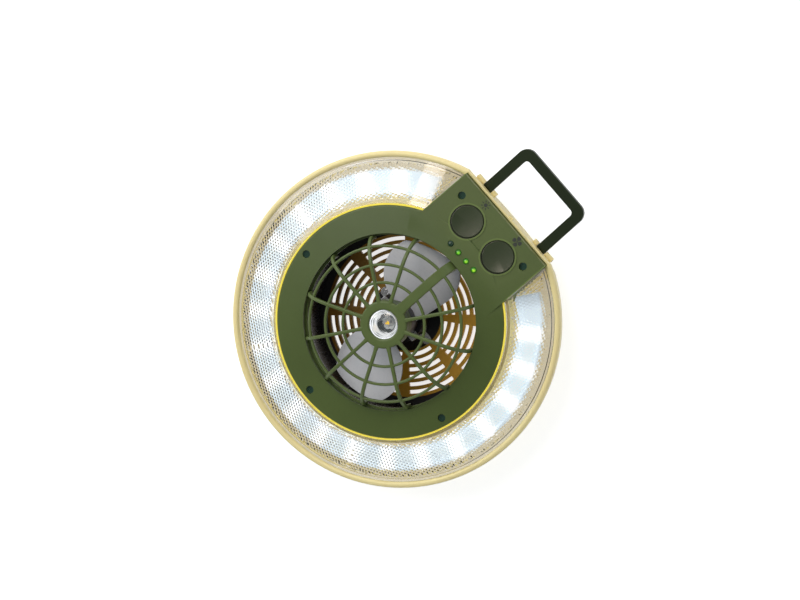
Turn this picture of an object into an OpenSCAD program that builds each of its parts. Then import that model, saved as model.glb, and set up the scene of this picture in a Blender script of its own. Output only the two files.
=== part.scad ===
// Portable camping fan with a ring light. A round tan shell holds a ducted two-blade fan, a C-shaped
// lens over a trough of LEDs, and a green front with a domed grille, a control panel and a bail.
// It lies on its back: the rest face is z = 0, the fan turns about Z and the panel points to +Y.

/* [Shell] */
// Outer radius of the round rim
rim_r = 120; // [116:0.5:130]
// Height of the top of the rim
rim_z = 37; // [35:0.5:40]
// Width of the rounded rim
rim_w = 4.5; // [3.5:0.1:6]
// Wall of the shell
shell_t = 2.5; // [2:0.1:3.2]
// Straight height of the shell's side, above its curved bowl
side_h = 3; // [2:0.5:4]
// How much nearer to the fan axis the flat side is than the round rim
chord_drop = 8.5; // [6:0.5:10]
// Thickness of the flat side's lip
lip_t = 2; // [1.5:0.1:3]
// How far the lip stands out over the flat wall below it
lip_out = 4; // [3.5:0.1:5]
// Thickness of the collar between the cover and the lens
collar_t = 1.2; // [0.9:0.1:1.6]
// How far the lens seat lies under the top of the rim
seat_drop = 3; // [2.5:0.1:4]

/* [Front cover] */
// Width of the round part of the cover
cover_w = 19.8; // [18:0.2:22]
// Height of the cover at the fan opening
cover_z = 53; // [51:0.5:56]
// How much lower the round part is at its outer edge
cover_drop = 2; // [1:0.1:3]
// Wall of the cover
cover_t = 2.2; // [1.8:0.1:2.6]
// Width of the control panel
panel_w = 86; // [82:1:92]
// Slope of the control panel, in degrees
panel_tilt = 15; // [11:0.5:17]
// Distance from the fan opening to the line where the panel starts to slope
panel_start = 9; // [7:0.5:11]

/* [Front grille] */
// Radius of the grille's hub
hub_r = 17; // [15:0.5:20]
// How far the hub's face stands above the cover
grille_rise = 16.5; // [13:0.5:20]
// Radius of the bend at the outer end of a spoke
bend_h = 19.4; // [16:0.2:22]
// Number of spokes, the wide one included
spoke_count = 12; // [8:1:16]
// Width of a spoke
spoke_w = 2.5; // [2:0.1:3.5]
// Depth of a spoke
spoke_h = 3; // [2:0.1:4]
// Number of rings between the hub and the opening
ring_count = 3; // [2:1:4]
// Width of a ring
ring_w = 2; // [1.5:0.1:3]
// Width of the wide spoke that carries the spot light's leads
channel_w = 7; // [6:0.5:9]

/* [Lens and ring light] */
// Width of the lens ring
lens_w = 31; // [28:0.5:33]
// Thickness of the lens
lens_t = 2; // [1.5:0.1:2.5]
// How much higher the lens is at its inner edge
lens_rise = 13.8; // [12:0.1:14.5]
// Distance from the lens's inner edge to the light trough
trough_in = 5.2; // [4:0.2:8]
// Distance from the light trough to the lens's outer edge
trough_out = 8.3; // [7:0.1:11]
// Height of the underside of the trough
trough_z = 32; // [30:0.5:33]
// Height of the trough's inner wall
trough_h = 8; // [5:0.5:11]
// Half of the trough's open angle at the panel
trough_gap = 30; // [28:0.5:34]
// Number of LEDs
led_count = 19; // [11:1:21]
// Angle between the first LED and the last
led_arc = 267; // [250:1:270]
// Side of one LED
led_side = 5; // [3:0.5:6]

/* [Spot light] */
// Radius of the spot light's lens
spot_r = 10.2; // [8:0.2:11]
// Height of the lens dome over its edge
spot_dome = 2.2; // [1:0.2:3]

/* [Buttons and lights] */
// Radius of a push button
button_r = 11.4; // [10:0.2:12.4]
// Distance between the two buttons
button_pitch = 33; // [29:0.5:35]
// Distance from the flat side to the buttons
button_in = 22.2; // [19:0.1:23]
// Travel of a button
button_travel = 0.8; // [0.4:0.1:1]
// Depth of the button's dish
dish = 2.2; // [1:0.1:2.4]
// Radius of a battery light
light_r = 2; // [1.5:0.1:2.4]
// Distance between battery lights
light_pitch = 8.2; // [7:0.1:9]
// Distance from the fan opening to the battery lights
light_in = 8; // [7.2:0.1:9]

/* [Fan] */
// Gap between the blade tips and the duct
tip_gap = 6; // [3:0.5:9]
// Radius of the impeller's hub
impeller_r = 21.5; // [18:0.5:24]
// Half width of a blade at the fan axis
blade_w = 20; // [16:0.5:22]
// How much a blade's half width grows for each millimetre of radius
blade_flare = 0.165; // [0.1:0.005:0.2]
// Pitch of a blade, in degrees
blade_pitch = 17; // [10:0.5:19]
// Thickness of a blade
blade_t = 1.8; // [1.2:0.1:2.4]
// Number of blades
blade_count = 2; // [1:1:2]
// Height of the middle of the blades
blade_z = 38; // [36.5:0.5:39]

/* [Rear grille] */
// Radius of the disc that carries the motor
disc_r = 26.8; // [26.6:0.1:29]
// Width of a slot
slot_w = 3; // [2:0.1:3.6]
// Distance from one row of slots to the next
slot_pitch = 5.6; // [5:0.1:7]
// Number of radial bars
bar_count = 8; // [6:1:10]
// Angle that a bar takes, in degrees
bar_angle = 9.5; // [7:0.5:13]

/* [Motor] */
// Radius of the motor can
can_r = 14; // [12:0.5:14.5]
// Radius of the motor shaft
shaft_r = 1; // [0.8:0.1:1.5]
// Wall of the cup that holds the motor
cup_t = 3.4; // [2.5:0.1:4]
// Width of the steel strap
strap_w = 7; // [5:0.5:8]
// Distance from the axis to the strap's screws
strap_screw_r = 22.4; // [22:0.1:23]

/* [Bail] */
// Distance between the bail's legs
leg_pitch = 57.4; // [52:0.2:64]
// Width of a leg
leg_w = 7.6; // [6:0.1:8.5]
// Thickness of the bail
bail_t = 4.4; // [3.4:0.1:4.8]
// Length of the bail from its hinge to its outer edge
bail_len = 42; // [30:0.5:60]
// How far the bail's middle lies beside the panel's middle
bail_x = 2.3; // [0:0.1:4]
// Height of the bail's hinge
hinge_z = 26; // [24:0.5:27]
// Radius of a hinge pin
pin_r = 1; // [0.8:0.1:1.2]

/* [Battery and socket] */
// Radius of a battery cell
cell_r = 7.2; // [6:0.1:7.3]
// Length of a battery cell
cell_len = 50; // [40:1:52]
// Radius of the charging socket's barrel
socket_r = 3; // [2.5:0.1:3.2]

/* [Fits] */
// Gap between covers that meet
fit = 0.2; // [0.1:0.05:0.3]
// Gap round a piece that moves
run = 0.35; // [0.3:0.05:0.45]
// Radial clearance of a shaft or hinge pin
bore_fit = 0.04; // [0.02:0.01:0.08]

/* [Hidden] */
$fn = 96;
FAR = 400;
EPS = 0.01;

TAN = "#ebcd78";
GREEN = "#586b40";
CAGE = "#697d50";
DARK_GREEN = "#233220";
CHARCOAL = "#2b2a2e";
GREY = "#a3a5b4";
STEEL = "#b8b8bc";

// shell
bowl_r = rim_z - side_h;
bowl_c = rim_r - bowl_r;
chord_y = rim_r - chord_drop;
wall_y = chord_y - lip_out;
seat_z = rim_z - seat_drop;
ledge_w = 2.8;
ledge_t = 2.5;
lip_z = seat_z - ledge_t;
lip_top = rim_z - 0.6;
rim_in_r = rim_r - rim_w;
lens_out_r = rim_in_r - fit;
lens_in_r = lens_out_r - lens_w;
collar_r = lens_in_r - fit - collar_t;
half_panel = panel_w / 2;

// cover and panel
cover_r = collar_r - fit / 2;
opening_r = cover_r - cover_w;
panel_y = opening_r + panel_start;
button_y = chord_y - button_in;
light_y = opening_r + light_in;
cover_edge_z = cover_z - cover_drop;
cover_slope = cover_drop / (cover_r - opening_r);
panel_top = cover_z - (panel_y - opening_r) * cover_slope;
panel_out_y = chord_y - lip_t - fit / 2;
flange_t = 2.2;
panel_root = 8;
duct_in_r = opening_r + 1.2;
duct_t = 2;
duct_out_r = duct_in_r + duct_t;
base_t = 2.2;
flange_z = cover_z - 6;
duct_top = flange_z - base_t;
collar_top = cover_edge_z - 0.6;

// lens
lens_edge_z = rim_z - 1;
lens_slope = lens_rise / (lens_out_r - lens_in_r);
lens_pins = [39, 76, 113, 150, 168];
lens_pin_r = 1.3;
lens_pin_h = 2.2;

// trough and its LED board
tray_t = 1.2;
trough_r = lens_in_r + trough_in;
trough_w = lens_w - trough_in - trough_out;
trough_out_r = trough_r + trough_w;
trough_mid_r = trough_r + trough_w / 2;
led_board_w = 9;
led_board_z = trough_z + tray_t;
led_board_t = 1.2;
led_h = 1.6;

// grille
grille_z = cover_z + grille_rise;
bend_r = opening_r - 0.6 - bend_h;
bend_z = grille_z - bend_h;
last_ring = 12.1;
ring_pitch = (bend_r + last_ring - hub_r) / ring_count;
hub_h = 9;
channel_d = 4.6;
channel_wall = 1.3;
channel_top = 1.5;
foot_lap = 1;

// spot light
spot_bore = spot_r + fit;
spot_lens_z = grille_z - 2.6;
cap_h = 7;
cap_z = grille_z - hub_h - cap_h;
cap_t = 2.5;
cap_r = hub_r - 0.2;
spot_board_t = 1.2;
spot_board_z = cap_z + cap_t;
lead_r = 0.6;
lead_x = 1;
lead_drop = 10.2;

// panel electronics, as depths under the panel's surface
board_drop = 11;
board_t = 1.6;
board_w = 56;
board_len = 27.5;
board_in = -2;
switch_side = 6;
switch_h = 3.5;
actuator_h = 0.7;
stem_drop = board_drop - switch_h - actuator_h - button_travel - 0.1;
button_lip = 1.2;
button_lip_z = cover_t + run;
button_lip_t = 1;
button_edge = 0.8;
stem_r = 2.5;
boss_r = 2.5;
board_posts = [[-24.5, 3.5], [24.5, 3.5], [0, 23]];

// screws
screw_head_r = 2.6;
screw_head_h = 2;
screw_shank_r = 1.5;
screw_len = 12;
recess_r = 2.8;
boss_out_r = 4.2;
post_r = 3.4;
tray_post_r = 3;
ring_screw_in = 6;
ring_screw_r = cover_r - ring_screw_in;
ring_screw_angles = [-12.6, 190.5, 268.3];
ring_recess = 3;
panel_screw_in = [10, 13.5];
panel_screw = [half_panel - panel_screw_in[0], chord_y - panel_screw_in[1]];
panel_recess = 3.2;
boss_floor = 2;
board_screw_r = 1;
board_screw_len = 5;
board_head = [2, 1.4];

// rear grille
disc_top = 3;
disc_hole_z = 0.8;
grille_flange_r = duct_out_r + 5.8;
grille_flange_t = 1.5;
slot_rows = floor((duct_in_r - 0.5 - disc_r - slot_w) / slot_pitch) + 1;

// motor
flange_h = 2.5;
cup_r = can_r + cup_t + 0.1;
cup_flange_r = 25.3;
cup_z = disc_top;
cup_h = 23;
can_z = cup_z + 2.2;
can_h = 18.5;
can_t = 1.1;
end_cap_h = 2;
boss_h = 1.6;
boss_hole_r = 4;
strap_t = 1;
bushing_r = 3;
bushing_h = 2.4;
magnet_t = 2.4;
magnet_h = can_h - 6;
magnet_half_angle = 66;
armature_gap = 0.9;
armature_r = can_r - can_t - magnet_t - armature_gap;
armature_h = can_h - 9.5;
motor_head = [2.1, 1.5];
motor_lead_r = 0.65;
motor_lead_x = 1.2;
lead_start = 4;

// impeller
blade_r = duct_in_r - tip_gap;
impeller_top = blade_z + 9.5;
impeller_bottom = blade_z - 9;
impeller_t = 1.8;
shaft_seat_r = 4;
shaft_top = impeller_top - 5;
blade_camber_r = 90;
blade_corner = 8;
blade_angle = 108;

// bail
hinge_y = chord_y + 0.5;
knuckle_r = 1.9;
outer_knuckle = 7;
inner_knuckle = 4;
web_w = 3;
bail_corner = 8;
bail_inner_corner = 3;
nub_w = 3;
nub_t = 1.2;
nub_x = 1;

// battery and socket
cell_gap = 0.8;
cell_tip = [2.6, 1.2];
outer_cell_y = wall_y - shell_t - 2.1 - cell_r;
cell_y = [outer_cell_y - 2 * cell_r - cell_gap, outer_cell_y];
cell_z = 14.5;
saddle_t = 2;
saddle_x = 14;
socket_z = 26.5;
socket_w = 9;
socket_len = 7.8;

function panel_z(y) = panel_top - (y - panel_y) * tan(panel_tilt);
function cover_top(r) = cover_z - (r - opening_r) * cover_slope;
function lens_top(r) = lens_edge_z + (lens_out_r - r) * lens_slope;
function arc(c, r, a0, a1, n) = [for (i = [0:n]) let (a = a0 + (a1 - a0) * i / n)
    [c[0] + r * cos(a), c[1] + r * sin(a)]];

module tube(r0, r1, z0, z1) {
    translate([0, 0, z0]) linear_extrude(z1 - z0) difference() { circle(r1); circle(r0); }
}

module rod(r, z0, z1) { translate([0, 0, z0]) cylinder(r = r, h = z1 - z0); }

// a profile drawn in Y and Z, pulled along X about its middle
module along_x(len) { rotate([90, 0, 90]) linear_extrude(len, center = true) children(); }

// a box from one corner to the other
module block(a, b) { translate(a) cube(b - a); }

// places a piece on the panel's surface, x from the middle and y from the fan axis
module on_panel(x, y) {
    translate([0, panel_y, panel_top]) rotate([-panel_tilt, 0, 0])
        translate([x, (y - panel_y) / cos(panel_tilt), 0]) children();
}

module ring_screws() {
    for (a = ring_screw_angles) rotate([0, 0, a]) translate([ring_screw_r, 0, 0]) children();
}

module panel_screws() {
    for (s = [-1, 1]) translate([s * panel_screw[0], panel_screw[1], 0]) children();
}

// the direction of a path at one of its points, halfway between the runs that meet there
function unit(v) = v / norm(v);
function heading(p, i) = unit((i > 0 ? unit(p[i] - p[i - 1]) : [0, 0, 0])
    + (i < len(p) - 1 ? unit(p[i + 1] - p[i]) : [0, 0, 0]));

// a wire along points that share one x, with mitred bends
module wire(points, r) {
    sides = 8;
    rings = len(points);
    verts = [for (i = [0:rings - 1]) let (d = heading(points, i), n = cross(d, [1, 0, 0]),
        run = unit(points[min(i + 1, rings - 1)] - points[min(i, rings - 2)]), mitre = 1 / (d * run))
        for (k = [0:sides - 1]) let (a = k * 360 / sides)
            points[i] + r * (cos(a) * [1, 0, 0] + mitre * sin(a) * n)];
    walls = [for (i = [0:rings - 2], k = [0:sides - 1]) let (next = (k + 1) % sides)
        [i * sides + k, i * sides + next, (i + 1) * sides + next, (i + 1) * sides + k]];
    caps = [[for (k = [sides - 1:-1:0]) k], [for (k = [0:sides - 1]) (rings - 1) * sides + k]];
    polyhedron(verts, concat(walls, caps));
}

// ---- shell ----

module bowl_profile(inset, top) {
    translate([0, inset]) square([bowl_c, top - inset]);
    intersection() {
        translate([bowl_c, bowl_r]) circle(bowl_r - inset);
        translate([bowl_c - EPS, 0]) square([bowl_r + EPS, bowl_r]);
    }
    translate([bowl_c - EPS, bowl_r]) square([bowl_r - inset + EPS, top - bowl_r]);
}

module housing_outside() {
    difference() {
        rotate_extrude() {
            bowl_profile(0, rim_z - rim_w / 2);
            translate([rim_r - rim_w / 2, rim_z - rim_w / 2]) circle(rim_w / 2);
        }
        block([-FAR, wall_y, -1], [FAR, FAR, lip_z]);
        block([-FAR, chord_y, 0], [FAR, FAR, rim_z + 1]);
        block([-half_panel - fit, 0, seat_z + 0.4], [half_panel + fit, FAR, FAR]);
    }
    along_x(panel_w + 2 * fit + 1) translate([chord_y - lip_t, 0]) {
        translate([0, lip_z + 1]) square([lip_t, lip_top - lip_t / 2 - lip_z - 1]);
        translate([lip_t / 2, lip_top - lip_t / 2]) circle(lip_t / 2);
    }
}

module housing_inside() {
    difference() {
        rotate_extrude() bowl_profile(shell_t, lip_z);
        block([-FAR, wall_y - shell_t, 0], [FAR, FAR, rim_z]);
    }
    difference() {
        rod(rim_in_r - ledge_w, lip_z - 1, seat_z + 1);
        block([-FAR, wall_y - shell_t, 0], [FAR, FAR, FAR]);
    }
    difference() {
        rod(rim_in_r, seat_z, FAR);
        block([-FAR, chord_y - lip_t, 0], [FAR, FAR, FAR]);
    }
    block([-half_panel - fit, 0, seat_z], [half_panel + fit, chord_y - lip_t, FAR]);
}

module collar() {
    difference() {
        union() {
            tube(collar_r, collar_r + collar_t, 0, collar_top);
            tube(collar_r, lens_in_r + 1.8, lens_top(lens_in_r) - lens_t - 1.8,
                lens_top(lens_in_r + 2.2) - lens_t);
        }
        block([-half_panel - fit, 0, shell_t], [half_panel + fit, FAR, FAR]);
    }
}

// walls that close the light chamber on both sides of the panel
module partitions() {
    y0 = sqrt(pow(collar_r, 2) - pow(half_panel + fit + collar_t, 2));
    for (s = [-1, 1]) translate([s * (half_panel + fit + collar_t / 2) - collar_t / 2, y0, 0])
        cube([collar_t, wall_y - y0, seat_z]);
}

module posts() {
    ring_screws() rod(post_r, shell_t - EPS, cover_top(ring_screw_r) - ring_recess - boss_floor);
    panel_screws() rod(post_r, 0, panel_z(panel_screw[1]) - panel_recess - boss_floor);
    for (a = [60:60:300]) rotate([0, 0, 90 + a]) translate([trough_mid_r, 0, 0]) rod(tray_post_r, 0, trough_z);
}

module saddles() {
    for (s = [-1, 1]) translate([s * saddle_x, 0, 0]) difference() {
        along_x(saddle_t) translate([cell_y[0] - cell_r + 1, 0])
            square([cell_y[1] - cell_y[0] + 2 * cell_r - 2, cell_z]);
        for (y = cell_y) translate([0, y, cell_z]) rotate([0, 90, 0])
            cylinder(r = cell_r + bore_fit, h = 2 * saddle_t, center = true);
    }
}

// a hinge knuckle outside the flat wall, from one x to another, on a narrow web
module knuckle(x0, x1) {
    translate([x0, hinge_y, hinge_z]) rotate([0, 90, 0]) cylinder(r = knuckle_r, h = x1 - x0);
    translate([(x0 + x1 - web_w) / 2, wall_y - EPS, hinge_z - knuckle_r])
        cube([web_w, hinge_y - wall_y, 2 * knuckle_r]);
}

module knuckles() {
    inside = leg_pitch / 2 - leg_w / 2 - run;
    outside = leg_pitch / 2 + leg_w / 2 + run;
    translate([bail_x, 0, 0]) for (s = [0, 1]) mirror([s, 0, 0]) {
        knuckle(inside - inner_knuckle, inside);
        knuckle(outside, outside + outer_knuckle);
    }
}

// the small catch in the middle of the lip
module lip_nub() {
    block([nub_x - nub_w / 2, chord_y - EPS, lip_z + 1], [nub_x + nub_w / 2, chord_y + nub_t, rim_z - 2]);
}

module rear_housing() {
    color(TAN) difference() {
        union() {
            difference() {
                housing_outside();
                housing_inside();
            }
            intersection() {
                housing_outside();
                union() {
                    partitions();
                    posts();
                    saddles();
                }
            }
            collar();
            knuckles();
            lip_nub();
        }
        rod(duct_out_r + 0.4, -1, shell_t + 1);
        ring_screws() rod(screw_shank_r + EPS, shell_t + 1, FAR);
        panel_screws() rod(screw_shank_r + EPS, bowl_r / 2 + 2, FAR);
        translate([0, wall_y - shell_t - 1, socket_z]) rotate([-90, 0, 0])
            cylinder(r = socket_r + fit, h = shell_t + 2);
        translate([-FAR / 2, hinge_y, hinge_z]) rotate([0, 90, 0])
            cylinder(r = pin_r + bore_fit / 2, h = FAR);
    }
}

module slot_pattern() {
    difference() {
        for (k = [0:slot_rows - 1]) difference() {
            circle(disc_r + k * slot_pitch + slot_w);
            circle(disc_r + k * slot_pitch);
        }
        for (i = [0:bar_count - 1]) rotate(90 + i * 360 / bar_count)
            polygon([[0, 0], [FAR, FAR * tan(bar_angle / 2)], [FAR, -FAR * tan(bar_angle / 2)]]);
    }
}

module rear_grille() {
    color(TAN) difference() {
        union() {
            rod(duct_out_r + 0.2, 0, disc_top);
            tube(duct_in_r, grille_flange_r, shell_t, shell_t + grille_flange_t);
        }
        translate([0, 0, -1]) linear_extrude(disc_top + 2) slot_pattern();
        for (s = [-1, 1]) translate([s * strap_screw_r, 0, 0]) rod(board_screw_r + EPS, disc_hole_z, FAR);
        block([-3, duct_in_r - 1, disc_top], [3, FAR, FAR]);
    }
}

module fan_duct() {
    color(CHARCOAL) difference() {
        tube(duct_in_r, duct_out_r, shell_t + grille_flange_t, duct_top);
        block([-3, 0, 0], [3, FAR, disc_top + 4]);
    }
}

// ---- green front ----

module cover_outside() {
    edge = 1.2;
    rotate_extrude() {
        polygon([[0, collar_top - 5], [cover_r, collar_top - 5], [cover_r, cover_edge_z - edge],
            [cover_r - edge, cover_top(cover_r - edge)], [opening_r, cover_z], [0, cover_z]]);
        translate([cover_r - edge, cover_edge_z - edge + cover_slope * edge]) circle(edge);
    }
    along_x(panel_w) polygon([[opening_r - panel_root, seat_z + EPS], [panel_out_y, seat_z + EPS],
        [panel_out_y, panel_z(panel_out_y)], [panel_y, panel_top], [opening_r - panel_root, panel_top]]);
}

module cover_inside() {
    drop = cover_t / cos(panel_tilt);
    rotate_extrude() polygon([[opening_r + flange_t, 0], [cover_r - cover_t, 0],
        [cover_r - cover_t, cover_top(cover_r - cover_t) - cover_t],
        [opening_r + flange_t, cover_top(opening_r + flange_t) - cover_t]]);
    rod(opening_r + flange_t + EPS, 0, flange_z);
    along_x(panel_w - 2 * cover_t) polygon([[opening_r - panel_root, 0], [panel_out_y - cover_t, 0],
        [panel_out_y - cover_t, panel_z(panel_out_y - cover_t) - drop],
        [panel_y, panel_top - drop], [opening_r - panel_root, panel_top - drop]]);
}

module button_wells() {
    for (s = [-1, 1]) on_panel(s * button_pitch / 2, button_y) children();
}

module lights() {
    for (i = [-1.5:1:1.5]) translate([i * light_pitch, light_y, 0]) children();
}

module front_cover() {
    color(GREEN) difference() {
        union() {
            difference() {
                cover_outside();
                cover_inside();
            }
            tube(opening_r - EPS, opening_r + flange_t, flange_z, cover_z - 1);
            ring_screws() rod(boss_out_r, cover_top(ring_screw_r) - ring_recess - boss_floor,
                cover_top(ring_screw_r) - 1);
            panel_screws() rod(boss_out_r, panel_z(panel_screw[1]) - panel_recess - boss_floor,
                panel_z(panel_screw[1] + boss_out_r) - EPS);
            button_wells() tube(button_r + run - EPS, button_r + run + 1.5, -cover_t, 0.5);
            for (p = board_posts) on_panel(p[0], panel_y) translate([0, p[1], 0])
                rod(boss_r, -board_drop, -cover_t / 2);
        }
        rod(opening_r, 0, FAR);
        ring_screws() {
            rod(recess_r, cover_top(ring_screw_r) - ring_recess, FAR);
            rod(screw_shank_r + 0.1, 0, FAR);
        }
        panel_screws() {
            rod(recess_r, panel_z(panel_screw[1]) - panel_recess, FAR);
            rod(screw_shank_r + 0.1, 0, FAR);
        }
        button_wells() rod(button_r + run, -cover_t - 1, 2);
        lights() rod(light_r + fit, board_drop, FAR);
        block([-2.6, 0, flange_z - 1], [2.6, opening_r + flange_t + 1, flange_z + 2.4]);
        for (p = board_posts) on_panel(p[0], panel_y) translate([0, p[1], 0])
            rod(board_screw_r + EPS, -board_drop - 1, -board_drop + board_screw_len + 1);
    }
}

// all that lies under the grille's outline, which is flat, then turns down
module under_cage(inset) {
    square([bend_r, grille_z - inset]);
    square([bend_r + bend_h - inset, bend_z]);
    translate([bend_r, bend_z]) circle(bend_h - inset);
}

// the grille's outline from the hub to the base ring
module cage_profile(depth) {
    difference() {
        under_cage(0);
        under_cage(depth);
        square([hub_r - 2, FAR]);
        translate([-FAR / 2, -EPS]) square([FAR, duct_top + EPS]);
    }
}

module spoke(width, depth) {
    rotate([90, 0, 0]) linear_extrude(width, center = true) cage_profile(depth);
}

module cage_rings() {
    for (k = [1:ring_count]) let (r = hub_r + k * ring_pitch,
        z = r <= bend_r ? grille_z : bend_z + sqrt(pow(bend_h, 2) - pow(r - bend_r, 2)))
        tube(r - ring_w / 2, r + ring_w / 2, z - spoke_h, z - 0.3);
}

// the groove under the wide spoke: its own outline moved down, and inwards past the bend
module lead_channel() {
    width = channel_w - 2 * channel_wall;
    rotate([0, 0, 90]) {
        translate([0, 0, -channel_top]) spoke(width, channel_d);
        translate([-channel_top, 0, 0]) intersection() {
            spoke(width, channel_d);
            block([bend_r + 2, -FAR, 0], [FAR, FAR, FAR]);
        }
    }
}

module front_grille() {
    edge = 1.5;
    color(CAGE) difference() {
        union() {
            for (i = [1:spoke_count - 1]) rotate([0, 0, 90 + i * 360 / spoke_count]) spoke(spoke_w, spoke_h);
            rotate([0, 0, 90]) spoke(channel_w, channel_d);
            cage_rings();
            tube(bend_r + bend_h - foot_lap, duct_out_r, duct_top, flange_z);
            rotate_extrude() {
                translate([0, grille_z - hub_h]) square([hub_r - edge, hub_h]);
                translate([0, grille_z - hub_h]) square([hub_r, hub_h - edge]);
                translate([hub_r - edge, grille_z - edge]) circle(edge);
            }
        }
        rod(spot_bore, 0, FAR);
        block([-2.2, 0, 0], [2.2, hub_r + 1, grille_z - channel_top]);
        lead_channel();
    }
}

// ---- lens ring and ring light ----

module lens_ring() {
    in_foot = lens_in_r + 2.2;
    out_foot = lens_out_r - 2.3;
    color("#dfe8ee", 0.5) difference() {
        union() {
            rotate_extrude() polygon([[lens_out_r, seat_z], [lens_out_r, lens_edge_z],
                [lens_in_r, lens_top(lens_in_r)], [lens_in_r, lens_top(in_foot) - lens_t],
                [in_foot, lens_top(in_foot) - lens_t], [out_foot, lens_top(out_foot) - lens_t],
                [out_foot, seat_z]]);
            for (a = lens_pins, s = [-1, 1], r = [in_foot + 1.5, out_foot - 1.9])
                rotate([0, 0, 90 + s * a]) translate([r, 0, 0])
                    rod(lens_pin_r, lens_top(r) - lens_t - lens_pin_h, lens_top(r) - lens_t / 2);
        }
        block([-half_panel - fit, 0, 0], [half_panel + fit, FAR, FAR]);
        block([-FAR, chord_y - lip_t - fit, 0], [FAR, FAR, FAR]);
    }
}

module trough_profile(inset) {
    polygon([[trough_r + inset, trough_z + inset], [trough_out_r - inset, trough_z + inset],
        [trough_out_r - inset, lens_top(trough_out_r) - lens_t - fit + inset],
        [trough_r + inset, trough_z + trough_h + inset]]);
}

module light_tray() {
    sweep = 360 - 2 * trough_gap;
    end = 0.7;
    color("white") difference() {
        rotate_extrude(angle = sweep, start = 90 + trough_gap) trough_profile(0);
        rotate_extrude(angle = sweep - 2 * end, start = 90 + trough_gap + end) trough_profile(tray_t);
    }
}

module led_board() {
    sweep = led_arc + 8;
    color("#e8ece8") rotate_extrude(angle = sweep, start = 270 - sweep / 2)
        translate([trough_mid_r - led_board_w / 2, led_board_z]) square([led_board_w, led_board_t]);
}

module ring_leds() {
    color("#fff6c8") for (i = [0:led_count - 1])
        rotate([0, 0, 270 - led_arc / 2 + i * led_arc / (led_count - 1)])
            translate([trough_mid_r, 0, led_board_z + led_board_t + led_h / 2])
                cube([led_side, led_side, led_h], center = true);
}

// ---- spot light in the grille's hub ----

module spot_lens() {
    dome_r = (pow(spot_r - 0.8, 2) + pow(spot_dome, 2)) / (2 * spot_dome);
    color("#e8eef2", 0.5) rotate_extrude() {
        translate([0, spot_lens_z]) square([spot_r, 1.6]);
        intersection() {
            translate([0, spot_lens_z + 1.6 + spot_dome - dome_r]) circle(dome_r);
            translate([0, spot_lens_z + 1.5]) square([spot_r, spot_dome + 1]);
        }
    }
}

module spot_reflector() {
    bottom = spot_board_z + spot_board_t;
    color("#d8d8dc") rotate_extrude() polygon([[3.4, bottom], [4.4, bottom], [spot_r, spot_lens_z - 1.4],
        [spot_r, spot_lens_z], [spot_r - 0.6, spot_lens_z]]);
}

module spot_led() {
    top = spot_board_z + spot_board_t;
    color("#f2c54a") {
        translate([-2, -2, top]) cube([4, 4, 0.8]);
        intersection() {
            translate([0, 0, top + 0.8]) sphere(1.5);
            rod(3, top + 0.7, top + 4);
        }
    }
}

module spot_board() {
    color("#e8ece8") difference() {
        rod(cap_r - 2.2, spot_board_z, spot_board_z + spot_board_t);
        for (s = [-1, 1]) translate([s * (cap_r - 2.2), 0, 0]) rod(1.6, spot_board_z - 1, FAR);
    }
}

module spot_cap() {
    color(CAGE) difference() {
        rod(cap_r, cap_z, cap_z + cap_h);
        rod(cap_r - 2, cap_z + cap_t, FAR);
        tube(cap_r - 1, FAR, cap_z - 1, cap_z + 1);
    }
}

module spot_leads() {
    channel = bend_h - channel_top - 2 * lead_r - 0.5;
    mid = bend_z + channel;
    down = bend_r + channel;
    for (s = [-1, 1]) color(s < 0 ? "#1c1c1e" : "#8c2020") wire([
        [s * lead_x, spot_r - 2.2, spot_board_z + spot_board_t + lead_r + 0.1],
        [s * lead_x, cap_r - 4.2, spot_board_z + spot_board_t + lead_r + 0.1],
        [s * lead_x, cap_r - 3.4, mid], [s * lead_x, bend_r, mid],
        [s * lead_x, bend_r + channel * sin(30), bend_z + channel * cos(30)],
        [s * lead_x, bend_r + channel * sin(60), bend_z + channel * cos(60)],
        [s * lead_x, down, bend_z], [s * lead_x, down, flange_z + lead_r + 0.5],
        [s * lead_x, light_y, flange_z + lead_r + 0.5], [s * lead_x, light_y, panel_top - lead_drop]], lead_r);
}

// ---- control panel ----

module button() {
    lip_bottom = -button_lip_z - button_lip_t;
    rotate_extrude() polygon([[0, -dish], [button_r - button_edge, 0], [button_r, 0],
        [button_r, -button_lip_z], [button_r + button_lip, -button_lip_z],
        [button_r + button_lip, lip_bottom], [stem_r, lip_bottom], [stem_r, -stem_drop], [0, -stem_drop]]);
}

module light_button() { color(DARK_GREEN) on_panel(-button_pitch / 2, button_y) button(); }

module fan_button() { color(DARK_GREEN) on_panel(button_pitch / 2, button_y) button(); }

module indicator_lights() {
    color("#58d020") intersection() {
        lights() {
            rod(light_r, 0, cover_top(light_y) - 0.3);
            translate([0, 0, cover_top(light_y) - 0.3]) intersection() {
                sphere(light_r);
                rod(FAR, -EPS, light_r);
            }
        }
        on_panel(0, panel_y) translate([0, 0, -board_drop + FAR / 2]) cube(FAR, center = true);
    }
}

module control_board() {
    color("#2e6b3a") difference() {
        on_panel(0, panel_y) block([-board_w / 2, board_in, -board_drop - board_t],
            [board_w / 2, board_in + board_len, -board_drop]);
        for (p = board_posts) on_panel(p[0], panel_y) translate([0, p[1], 0])
            rod(board_screw_r + 0.1, -FAR, 0);
    }
}

module tact_switches() {
    color("#3a3a3c") button_wells() {
        translate([-switch_side / 2, -switch_side / 2, -board_drop]) cube([switch_side, switch_side, switch_h]);
        rod(1.7, -board_drop + switch_h - EPS, -board_drop + switch_h + actuator_h);
    }
}

module board_screws() {
    color(STEEL) for (p = board_posts) on_panel(p[0], panel_y) translate([0, p[1], 0]) {
        rod(board_screw_r, -board_drop - board_t - EPS, -board_drop + board_screw_len);
        rod(board_head[0], -board_drop - board_t - board_head[1], -board_drop - board_t);
    }
}

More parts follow.
